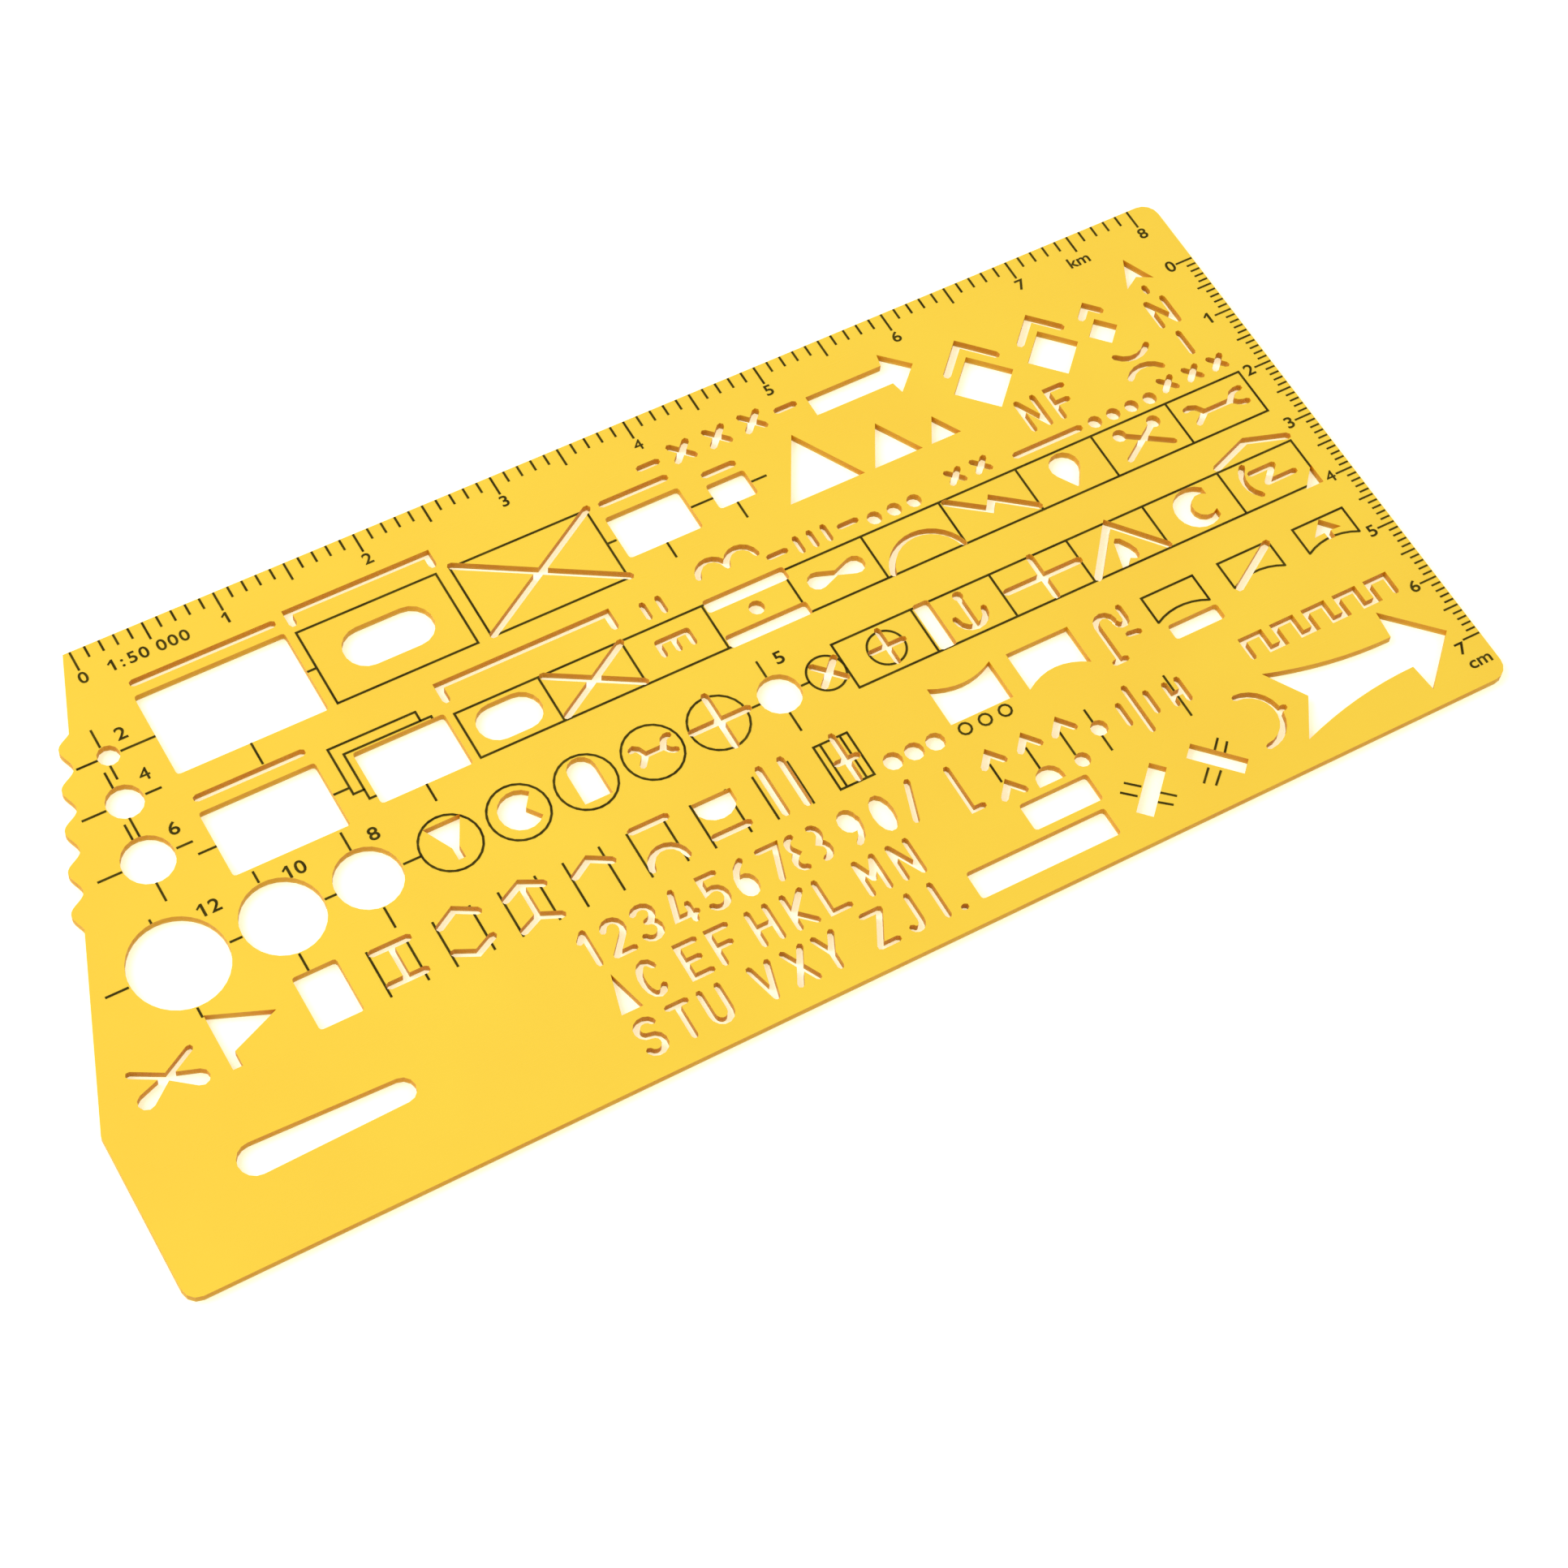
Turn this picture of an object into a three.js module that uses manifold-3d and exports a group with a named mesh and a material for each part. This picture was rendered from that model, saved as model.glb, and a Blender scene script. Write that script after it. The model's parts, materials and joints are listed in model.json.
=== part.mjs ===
// A drafting template: one thin sheet of tinted plastic with drawing cut-outs, and the frames printed on
// it. Millimetres, Z up. A place on the sheet is [x, y]: x runs right from the zero line of the long scale,
// and y runs up from the top edge, so it is negative. The finished group is centred on its underside.
import * as THREE from "three";
import { mergeVertices } from "three/addons/utils/BufferGeometryUtils.js";
import Module from "manifold-3d";

const wasm = await Module();
wasm.setup();

// Sheet
const THICKNESS = 1.2;
const CORNER_RADIUS = 2.3;
const FOOT_CORNER_RADIUS = 2;
const ZERO_MARGIN = 0.9; // top left corner to the zero line
const RIGHT_MARGIN = 4.8; // symbol field to the right edge
const BOTTOM_MARGIN = 5.5; // last row to the bottom edge
const SLANT_RUN = 23.8; // the slanted left edge, along x
const SLANT_DROP = 64; // and along y
const SCALLOP_COUNT = 5;
const SCALLOP_PITCH = 5.93;
const SCALLOP_RISE = 1.45; // a crest, outside the slanted edge
const SCALLOP_DIP = 0.25; // the valley between two crests, inside it
const SCALLOP_START = 14.15; // the first crest along the slant, from the top left corner

// Symbol field
const ROW_STEPS = [16.3, 17.85, 12.95, 12.4, 9.05, 7.1, 6.95]; // top edge to the first row, then row to row
const CELL_WIDTH = 11.97;
const CELL_HEIGHT = 7.35;
const UPPER_CELLS = 10;
const LOWER_CELLS = 6;
const RING_LEFT = 30.4; // first printed ring's centre
const RING_PITCHES = 5.956; // from there to the lower strip
const RING_DIAMETER = 8.2;
const WHEEL_DIAMETER = 1.7;
const BRIDGE_LEFT = 16.9; // first bridge symbol's centre
const BRIDGE_PITCHES = 9.12; // from there to the dished shield

// Frames of the first two rows: the drawn size, and the bar's height over the hole
const BIG_FRAME = { width: 20, height: 12, bar: 1.9 };
const PRINTED_FRAME = { width: 20, height: 12, bar: 2.6 };
const MEDIUM_FRAME = { width: 10, height: 6.1, bar: 2.15 };
const SMALL_FRAME = { width: 4.8, height: 3.2, bar: 1.55 };
const SECTION_FRAME = { width: 15, height: 9.2, bar: 2.05 };
const STACK_FRAME = { width: 11.9, height: 7.3 };
const UPRIGHT_FRAME = { width: 5, height: 7 };
const BAR_OVERHANG = 0.25; // a bar past each end of the drawn frame
const STADIUM = { length: 12.7, width: 6.3 };
const SMALL_STADIUM = { length: 9.1, width: 5.7 };
const FRAMES_LEFT = 4.4; // first hole of the first row
const FRAME_GAPS = [1.65, 2, 1.3, 3.35]; // between the five frames of that row
const SECTION_LEFT = 4.3; // first hole of the second row
const STACK_GAP = 4.75; // from that hole to the stack frame's
const STRIP_GAP = 1.45; // from the stack frame's hole to the upper strip
const STACK_STEP = 1.5; // each sheet of the stack stands out by it
const LEVEL_FRAME_HEIGHT = 4.2;
const SHORT_LEVEL_FRAME = 10.2;
const LONG_LEVEL_FRAME = 20.6;
const HANG_SLOT = { left: -9.9, leftRadius: 2.3, right: 9.4, rightRadius: 1.75 };

// Cuts
const PEN = 1; // added to a nominal size, so that the pen's line comes out right
const SLOT = 1.1;
const FINE_SLOT = 0.9;
const HOLE_CORNER = 0.4;
const SHARPEST = 1.95; // radians a slot turns in one bend
const CUT_THROUGH = 1; // how far a cutter passes each face
const LETTER_HEIGHT = 4.7; // between the slots' centre lines
const LETTER_WIDTH = 2.5;

// Print
const INK_THICKNESS = 0.05;
const INK_LINE = 0.3;
const INK_LEAST = 0.02; // cubic millimetres; a smaller crumb of a cut line is left out
const PRINT_SHIFT = [-0.3, -0.2]; // the print lies a little left of and below the cuts

// Straight steps that stand for a curve: an arc has more of them a radian as its radius grows
const ARC_STEPS_BASE = 0.65;
const ARC_STEPS_PER_MM = 0.75;
const DISC_STEPS = 12; // at least, in a whole turn
const SWEEP_STEPS = 8;
const SCALLOP_STEPS = 14;
const CURL_STEPS = 7; // in half a turn of a letter
const MERGE = 1e-4;

const TINTED_PLASTIC = { color: 0xfdd23c, roughness: 0.22, metalness: 0, transparent: true, opacity: 0.9 };
const INK = { color: 0x1c1808, roughness: 0.6, metalness: 0 };

const ROWS = ROW_STEPS.map((_, i) => -ROW_STEPS.slice(0, i + 1).reduce((sum, step) => sum + step));
const [FRAME_ROW, STRIP_ROW, RING_ROW, BRIDGE_ROW, DIGIT_ROW, LETTER_ROW, LAST_ROW] = ROWS;
const holed = (size) => size + PEN;
const STACK_LEFT = SECTION_LEFT + holed(SECTION_FRAME.width) + STACK_GAP;
const FIELD_LEFT = STACK_LEFT + holed(STACK_FRAME.width) + STRIP_GAP;
const column = (k) => FIELD_LEFT + k * CELL_WIDTH;
const FIRST_LOWER_CELL = UPPER_CELLS - LOWER_CELLS;
const LOWER_LEFT = column(FIRST_LOWER_CELL);
const RING_PITCH = (LOWER_LEFT - RING_LEFT) / RING_PITCHES;
const ringAt = (i) => [RING_LEFT + i * RING_PITCH, RING_ROW];
const SHIELD_LEFT = column(FIRST_LOWER_CELL + 1); // the dished shield's centre
const BRIDGE_PITCH = (SHIELD_LEFT - BRIDGE_LEFT) / BRIDGE_PITCHES;
const bridgeAt = (i) => [BRIDGE_LEFT + i * BRIDGE_PITCH, BRIDGE_ROW];
const [CELL_RIGHT, CELL_TOP] = [CELL_WIDTH / 2, CELL_HEIGHT / 2]; // from a cell's centre
const SHEET_LEFT = -ZERO_MARGIN - SLANT_RUN;
const SHEET_RIGHT = column(UPPER_CELLS) + RIGHT_MARGIN;
const SHEET_BOTTOM = LAST_ROW - BOTTOM_MARGIN;

// Solids

/** The closed solid of a geometry, for joining and cutting. */
function solidOf(geometry) {
  geometry.deleteAttribute("normal");
  geometry.deleteAttribute("uv");
  const merged = mergeVertices(geometry, MERGE);
  const vertProperties = merged.attributes.position.array;
  const triVerts = new Uint32Array(merged.index.array);
  return new wasm.Manifold(new wasm.Mesh({ numProp: 3, vertProperties, triVerts }));
}

/** A flat outline raised from one height to another. */
function prism(shape, bottom, top) {
  const options = { depth: top - bottom, bevelEnabled: false };
  return solidOf(new THREE.ExtrudeGeometry(shape, options).translate(0, 0, bottom));
}

/** A mesh of a finished solid, with a material of its own. */
function meshOf(solid, name, finish) {
  const { vertProperties, triVerts } = solid.getMesh();
  const geometry = new THREE.BufferGeometry();
  geometry.setAttribute("position", new THREE.BufferAttribute(vertProperties, 3));
  geometry.setIndex(new THREE.BufferAttribute(triVerts, 1));
  geometry.computeVertexNormals();
  const mesh = new THREE.Mesh(geometry, new THREE.MeshStandardMaterial(finish));
  mesh.name = name;
  return mesh;
}

const join = (solids) => solids.reduce((all, one) => all.add(one));

// Outlines

const polygon = (points) => new THREE.Shape(points.map(([x, y]) => new THREE.Vector2(x, y)));

const move = ([x, y], points) => points.map(([dx, dy]) => [x + dx, y + dy]);

/** Points along an arc from one angle to another. */
function arc([x, y], radius, from, to, least = 2) {
  const turn = to - from;
  const count = Math.max(least, Math.round(Math.abs(turn) * (ARC_STEPS_BASE + ARC_STEPS_PER_MM * radius)));
  const angles = Array.from({ length: count + 1 }, (_, i) => from + (turn * i) / count);
  return angles.map((angle) => [x + radius * Math.cos(angle), y + radius * Math.sin(angle)]);
}

/** Points along a curve that leaves one end towards a point and reaches the other end from it. */
function sweep(from, towards, to) {
  const ends = [from, towards, to].map(([x, y]) => new THREE.Vector2(x, y));
  return new THREE.QuadraticBezierCurve(...ends).getPoints(SWEEP_STEPS).map(({ x, y }) => [x, y]);
}

/** A rectangle with round corners, about its centre. */
function box([x, y], width, height) {
  const [across, up] = [width / 2 - HOLE_CORNER, height / 2 - HOLE_CORNER];
  const corners = [[across, up], [-across, up], [-across, -up], [across, -up]];
  const quarter = Math.PI / 2;
  const turned = (at, i) => arc(at, HOLE_CORNER, i * quarter, (i + 1) * quarter);
  return polygon(move([x, y], corners).flatMap(turned));
}

const disc = (centre, diameter) => polygon(arc(centre, diameter / 2, 0, 2 * Math.PI, DISC_STEPS).slice(1));

/** Two circles and the straight sides that touch both. */
function taper(from, fromRadius, to, toRadius) {
  const [dx, dy] = [to[0] - from[0], to[1] - from[1]];
  const heading = Math.atan2(dy, dx);
  const open = Math.acos((fromRadius - toRadius) / Math.hypot(dx, dy));
  const far = arc(to, toRadius, heading - open, heading + open);
  return polygon([...far, ...arc(from, fromRadius, heading + open, heading - open + 2 * Math.PI)]);
}

/** A round-ended slot between two points of its centre line. */
const slot = (from, to, width = SLOT) => taper(from, width / 2, to, width / 2);

/** A round-ended slot along a broken line, with pointed bends; a bend over SHARPEST starts a new slot. */
function path(points, width = SLOT) {
  const headings = points.slice(1).map(([x, y], i) => Math.atan2(y - points[i][1], x - points[i][0]));
  const bend = (i) => {
    const turn = headings[i] - headings[i - 1];
    return Math.atan2(Math.sin(turn), Math.cos(turn));
  };
  const sharp = headings.findIndex((_, i) => i > 0 && Math.abs(bend(i)) > SHARPEST);
  if (sharp > 0) return [...path(points.slice(0, sharp + 1), width), ...path(points.slice(sharp), width)];
  const inner = points.slice(1, -1).map(([x, y], i) => {
    const half = bend(i + 1) / 2;
    const across = headings[i] + half + Math.PI / 2;
    const reach = width / 2 / Math.cos(half);
    return [reach * Math.cos(across), reach * Math.sin(across), x, y];
  });
  const side = (sign) => inner.map(([dx, dy, x, y]) => [x + sign * dx, y + sign * dy]);
  const [first, last] = [headings[0], headings[headings.length - 1]];
  const quarter = Math.PI / 2;
  const end = arc(points[points.length - 1], width / 2, last - quarter, last + quarter);
  const start = arc(points[0], width / 2, first + quarter, first + 3 * quarter);
  return [polygon([...end, ...side(1).reverse(), ...start, ...side(-1)])];
}

/** A level slot of a given overall length, about its centre. */
const dash = ([x, y], length, width = SLOT) =>
  slot([x - (length - width) / 2, y], [x + (length - width) / 2, y], width);

/** An upright slot of a given overall length, about its centre. */
const upright = ([x, y], length, width = SLOT) =>
  slot([x, y - (length - width) / 2], [x, y + (length - width) / 2], width);

/** Two slots from corner to corner of a rectangle. */
function cross(centre, width, height, slotWidth = SLOT) {
  const [across, up] = [width / 2, height / 2];
  const lines = [[[-across, -up], [across, up]], [[-across, up], [across, -up]]];
  return lines.map((ends) => slot(...move(centre, ends), slotWidth));
}

const plus = (centre, width, height, slotWidth = SLOT) =>
  [dash(centre, width, slotWidth), upright(centre, height, slotWidth)];

/** A slot with two arms that fall from its peak at the centre, or rise when the drop is negative. */
const chevron = (peak, halfWidth, drop, width = SLOT) =>
  path(move(peak, [[-halfWidth, -drop], [0, 0], [halfWidth, -drop]]), width);

/** A round-ended slot along an arc, counter-clockwise. */
function arcSlot(centre, radius, from, to, width = SLOT) {
  const half = width / 2;
  const end = (angle) => [centre[0] + radius * Math.cos(angle), centre[1] + radius * Math.sin(angle)];
  return polygon([
    ...arc(centre, radius + half, from, to).slice(0, -1),
    ...arc(end(to), half, to, to + Math.PI),
    ...arc(centre, radius - half, to, from).slice(1, -1),
    ...arc(end(from), half, from + Math.PI, from + 2 * Math.PI).slice(0, -1),
  ]);
}

/** An arched slot over a span; its feet stand at the point's height. A negative rise hangs it. */
function arch([x, y], span, rise, width = FINE_SLOT) {
  const height = Math.abs(rise);
  const radius = (span * span / 4 + height * height) / (2 * height);
  const half = Math.acos((radius - height) / radius);
  const up = (Math.sign(rise) * Math.PI) / 2;
  return arcSlot([x, y + rise - Math.sign(rise) * radius], radius, up - half, up + half, width);
}

// The sheet's outline, counter-clockwise from its top left corner
function sheetOutline() {
  const corner = [-ZERO_MARGIN, 0];
  const slant = Math.hypot(SLANT_RUN, SLANT_DROP);
  const along = [-SLANT_RUN / slant, -SLANT_DROP / slant];
  const outward = [along[1], -along[0]];
  const onSlant = (s, n) => [0, 1].map((i) => corner[i] + s * along[i] + n * outward[i]);
  const [middle, swing] = [(SCALLOP_RISE - SCALLOP_DIP) / 2, (SCALLOP_RISE + SCALLOP_DIP) / 2];
  const meets = Math.acos(-middle / swing) / (2 * Math.PI); // pitches from an end crest to the plain edge
  const span = SCALLOP_COUNT - 1 + 2 * meets;
  const steps = Math.round(span * SCALLOP_STEPS);
  const wave = Array.from({ length: steps + 1 }, (_, i) => {
    const pitches = (span * i) / steps - meets;
    const rise = middle + swing * Math.cos(2 * Math.PI * pitches);
    return onSlant(SCALLOP_START + pitches * SCALLOP_PITCH, rise);
  });
  const [foot, round] = [FOOT_CORNER_RADIUS, CORNER_RADIUS];
  const quarter = Math.PI / 2;
  return polygon([
    corner,
    ...wave,
    [SHEET_LEFT, -SLANT_DROP],
    ...arc([SHEET_LEFT + foot, SHEET_BOTTOM + foot], foot, 2 * quarter, 3 * quarter),
    ...arc([SHEET_RIGHT - round, SHEET_BOTTOM + round], round, 3 * quarter, 4 * quarter),
    ...arc([SHEET_RIGHT - round, -round], round, 0, quarter),
  ]);
}

// Letters and digits as slots on a grid one letter wide and high; a solid bowl is one outline

/** Points along an oval on the letter grid, from one angle to another in half turns. */
function curl([u, v], across, up, from, to) {
  const steps = Math.round(Math.abs(to - from) * CURL_STEPS);
  return arc([0, 0], 1, from * Math.PI, to * Math.PI, steps).map(([x, y]) => [u + across * x, v + up * y]);
}

const LETTERS = {
  A: { fill: [[-0.1, -0.1], [0.5, 1.1], [1.1, -0.1]] },
  C: { lines: [curl([0.5, 0.5], 0.5, 0.5, 0.22, 1.78)] },
  E: { lines: [[[1, 1], [0, 1], [0, 0], [1, 0]], [[0, 0.5], [0.8, 0.5]]] },
  F: { lines: [[[1, 1], [0, 1], [0, 0]], [[0, 0.5], [0.8, 0.5]]] },
  H: { lines: [[[0, 0], [0, 1]], [[1, 0], [1, 1]], [[0, 0.5], [1, 0.5]]] },
  I: { lines: [[[0.5, 0], [0.5, 1]]] },
  J: { lines: [[[0.8, 1], ...curl([0.45, 0.25], 0.35, 0.25, 0, -0.8)]] },
  K: { lines: [[[0, 0], [0, 1]], [[1, 1], [0.1, 0.45], [1, 0]]] },
  L: { lines: [[[0, 1], [0, 0], [1, 0]]] },
  M: { lines: [[[0, 0], [0, 1], [0.5, 0.4], [1, 1], [1, 0]]] },
  N: { lines: [[[0, 0], [0, 1], [1, 0], [1, 1]]] },
  S: {
    lines: [[
      ...curl([0.5, 0.76], 0.5, 0.24, 0.15, 1.5),
      ...curl([0.5, 0.26], 0.5, 0.26, 0.5, -0.85).slice(1),
    ]],
  },
  T: { lines: [[[0, 1], [1, 1]], [[0.5, 1], [0.5, 0]]] },
  U: { lines: [[[0, 1], ...curl([0.5, 0.3], 0.5, 0.3, 1, 2), [1, 1]]] },
  V: { lines: [[[0, 1], [0.5, 0], [1, 1]]] },
  X: { lines: [[[0, 0], [1, 1]], [[0, 1], [1, 0]]] },
  Y: { lines: [[[0, 1], [0.5, 0.45], [1, 1]], [[0.5, 0.45], [0.5, 0]]] },
  Z: { lines: [[[0, 1], [1, 1], [0, 0], [1, 0]]] },
  0: { fill: curl([0.5, 0.5], 0.6, 0.6, 0, 2).slice(1) },
  1: { lines: [[[0.15, 0.78], [0.5, 1], [0.5, 0]]] },
  2: { lines: [[...curl([0.5, 0.72], 0.5, 0.28, 0.92, -0.2), [0, 0], [1, 0]]] },
  3: {
    lines: [[
      ...curl([0.5, 0.76], 0.5, 0.24, 0.85, -0.5),
      ...curl([0.5, 0.26], 0.5, 0.26, 0.5, -0.85).slice(1),
    ]],
  },
  4: { lines: [[[0.4, 1], [0, 0.2], [1.1, 0.2]], [[0.85, 0.5], [0.85, 0]]] },
  5: { lines: [[[0.95, 1], [0.1, 1], [0.1, 0.55], ...curl([0.45, 0.3], 0.55, 0.3, 0.6, -0.8)]] },
  6: {
    lines: [[[0.7, 1], [0.33, 0.82], [0.1, 0.55], [0.05, 0.3]]],
    fill: curl([0.45, 0.25], 0.56, 0.37, 0, 2).slice(1),
  },
  7: { lines: [[[0, 1], [1, 1], [0.4, 0]]] },
  8: {
    lines: [
      [
        ...curl([-0.15, 0.77], 0.35, 0.23, 0.5, 1.3),
        [-0.25, 0.5],
        ...curl([-0.15, 0.25], 0.42, 0.25, 0.75, 1.5),
      ],
      [
        ...curl([0.9, 0.77], 0.35, 0.23, 0.5, -0.3),
        [1, 0.5],
        ...curl([0.9, 0.25], 0.42, 0.25, 0.25, -0.5),
      ],
    ],
  },
  9: {
    lines: [[[0.92, 0.7], [0.87, 0.42], [0.7, 0.17], [0.4, 0]]],
    fill: curl([0.47, 0.72], 0.56, 0.37, 0, 2).slice(1),
  },
  "/": { lines: [[[0.85, 1.05], [0.15, -0.1]]] },
  ".": { lines: [[[0.45, 0], [0.55, 0]]] },
};

function letter(sign, [x, y], height = LETTER_HEIGHT, width = LETTER_WIDTH) {
  const { lines = [], fill } = LETTERS[sign];
  const place = ([u, v]) => [x + (u - 0.5) * width, y + (v - 0.5) * height];
  const slots = lines.flatMap((line) => path(line.map(place), FINE_SLOT));
  return fill ? [...slots, polygon(fill.map(place))] : slots;
}

// Cut-outs of each part of the field; every function returns outlines

const CIRCLES = [
  { at: [-2, FRAME_ROW], size: 2 },
  { at: [-3, FRAME_ROW - 7.05], size: 4 },
  { at: [-3.95, FRAME_ROW - 15.95], size: 6 },
  { at: [RING_LEFT - 37.2, RING_ROW], size: 12 },
  { at: [RING_LEFT - 23.2, RING_ROW], size: 10 },
  { at: [RING_LEFT - 11.55, RING_ROW], size: 8 },
  { at: ringAt(4.921), size: 5 },
];

const pierced = (centre, { width, height }) => box(centre, holed(width), holed(height));

/** A frame to draw round, with the bar slot that belongs above it. */
function openFrame(centre, frame) {
  const barY = centre[1] + holed(frame.height) / 2 + frame.bar;
  return [pierced(centre, frame), dash([centre[0], barY], frame.width + 2 * BAR_OVERHANG)];
}

/** A bar slot with a leg down at each end. */
const bracket = ([x, y], width, leg) =>
  path(move([x, y], [[-width / 2, -leg], [-width / 2, 0], [width / 2, 0], [width / 2, -leg]]));

/** The five frames of the first row, one after another: their left and right sides. */
function frameSides() {
  const widths = [
    holed(BIG_FRAME.width),
    PRINTED_FRAME.width,
    PRINTED_FRAME.width,
    holed(MEDIUM_FRAME.width),
    holed(SMALL_FRAME.width),
  ];
  const lefts = widths.map((_, i) =>
    widths.slice(0, i).reduce((x, width, k) => x + width + FRAME_GAPS[k], FRAMES_LEFT));
  return lefts.map((left, i) => ({ left, right: left + widths[i], at: [left + widths[i] / 2, FRAME_ROW] }));
}

function frameRow() {
  const [big, stadium, crossed, medium, small] = frameSides();
  const { width, height, bar } = PRINTED_FRAME;
  const sectionAt = [SECTION_LEFT + holed(SECTION_FRAME.width) / 2, STRIP_ROW];
  const stackAt = [STACK_LEFT + holed(STACK_FRAME.width) / 2, STRIP_ROW];
  const [leg, stripLeg] = [1.8, 2.3];
  const stripBar = [column(1), STRIP_ROW + CELL_TOP + 4.475];
  return [
    ...openFrame(big.at, BIG_FRAME),
    ...openFrame(medium.at, MEDIUM_FRAME),
    ...openFrame(small.at, SMALL_FRAME),
    ...openFrame(sectionAt, SECTION_FRAME),
    pierced(stackAt, STACK_FRAME),
    ...bracket([stadium.at[0], FRAME_ROW + holed(height) / 2 + bar], width, leg),
    dash(stadium.at, STADIUM.length, STADIUM.width),
    ...cross(crossed.at, width, height),
    ...bracket(stripBar, 2 * CELL_WIDTH + 0.4, stripLeg),
  ];
}

/** A dash, three crosses and a dash, in one line. */
function barrierLine() {
  const centre = [column(4) + 2.8, FRAME_ROW + 8.5];
  const [pitch, size, reach, length] = [5.4, 2.5, 10.5, 3.6];
  const crosses = [-1, 0, 1].flatMap((i) => cross([centre[0] + i * pitch, centre[1]], size, size, 1));
  const dashes = [-1, 1].map((side) => dash([centre[0] + side * reach, centre[1]], length, 1));
  return [...crosses, ...dashes];
}

function blockArrow() {
  const [tail, shaft, head, reach, tip] = [0, 1.65, 11.8, 3.5, 15.9];
  const upper = [[head, shaft], [head + 0.4, reach], [tip, 0]];
  const lower = [[head + 0.4, -reach], [head, -shaft]];
  const points = [[tail, -shaft], [tail, shaft], ...upper, ...lower];
  return polygon(move([column(5) + 4.55, FRAME_ROW + 7.05], points));
}

function triangles() {
  const base = FRAME_ROW - 5.7;
  const places = [[column(5) - 0.2, 11.4], [column(6) - 1.2, 7.4], [column(6) + 6.2, 4.6]];
  return places.map(([x, side]) =>
    polygon(move([x, base], [[-side / 2, 0], [side / 2, 0], [0, side * Math.sin(Math.PI / 3)]])));
}

/** Squares on their corners, each under an open roof slot. */
function diamonds() {
  const roofRise = 2.4;
  const eaves = FRAME_ROW + 3.2;
  const places = [[column(7) + 3.55, 4.7], [column(8) + 2.65, 4.05], [column(9) - 1.2, 2.3]];
  return places.flatMap(([x, half]) => {
    const peak = FRAME_ROW + half + roofRise;
    return [
      polygon(move([x, FRAME_ROW], [[0, -half], [half, 0], [0, half], [-half, 0]])),
      ...chevron([x, peak], peak - eaves, peak - eaves),
    ];
  });
}

/** A north mark: arrow head, tick, letter and tail. */
function northMark() {
  const x = column(9) + 7.9;
  return [
    polygon(move([x, FRAME_ROW], [[0, 9.3], [-2.2, 4.6], [0, 5.9], [2.2, 4.7]])),
    upright([x, FRAME_ROW + 3.4], 1.7, FINE_SLOT),
    ...letter("N", [x, FRAME_ROW - 0.9], 4.2, 2.6),
    upright([x, FRAME_ROW - 6.8], 4.5, FINE_SLOT),
  ];
}

function smallFigures() {
  const signs = ["N", "F"];
  const letters = signs.flatMap((sign, i) => letter(sign, [column(7) + 6.8 + 4.7 * i, FRAME_ROW - 7.55]));
  const arcs = [-4.6, -8.7].map((y, i) =>
    arch([column(9) + 0.35, FRAME_ROW + y], 5.1, i ? 1.25 : -1.2));
  return [...letters, ...arcs];
}

/** The line of small marks above the upper strip. */
function markLine() {
  const y = STRIP_ROW + CELL_TOP + 2.425;
  const low = y - 0.85;
  const spread = (first, pitch, count, make) =>
    Array.from({ length: count }, (_, i) => make(first + i * pitch)).flat();
  const stroke = (x) => upright([x, y], 3, FINE_SLOT);
  const smallCross = (x) => cross([x, y + 0.1], 1.8, 1.8, FINE_SLOT);
  const wave = 4.3;
  return [
    ...spread(column(2) + 4.86, 2.3, 2, stroke),
    ...spread(column(3) + 3.69, wave, 2, (x) => arch([x, y + 1.35], wave, 1.95)),
    ...spread(column(4) + 3.8, 2.1, 3, stroke),
    ...spread(column(4) + 0.55, 10.7, 2, (x) => dash([x, y], 3.3, FINE_SLOT)),
    ...spread(column(5) + 2.9, 3.05, 3, (x) => disc([x, low], 2.1)),
    ...spread(column(6) + 4, 4, 2, smallCross),
    dash([column(7) + 6.05, y - 0.75], 11.1),
    ...spread(column(8) + 1.55, 2.93, 4, (x) => disc([x, low], 2)),
    ...spread(column(9) + 1.9, 4.05, 3, smallCross),
  ];
}

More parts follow.
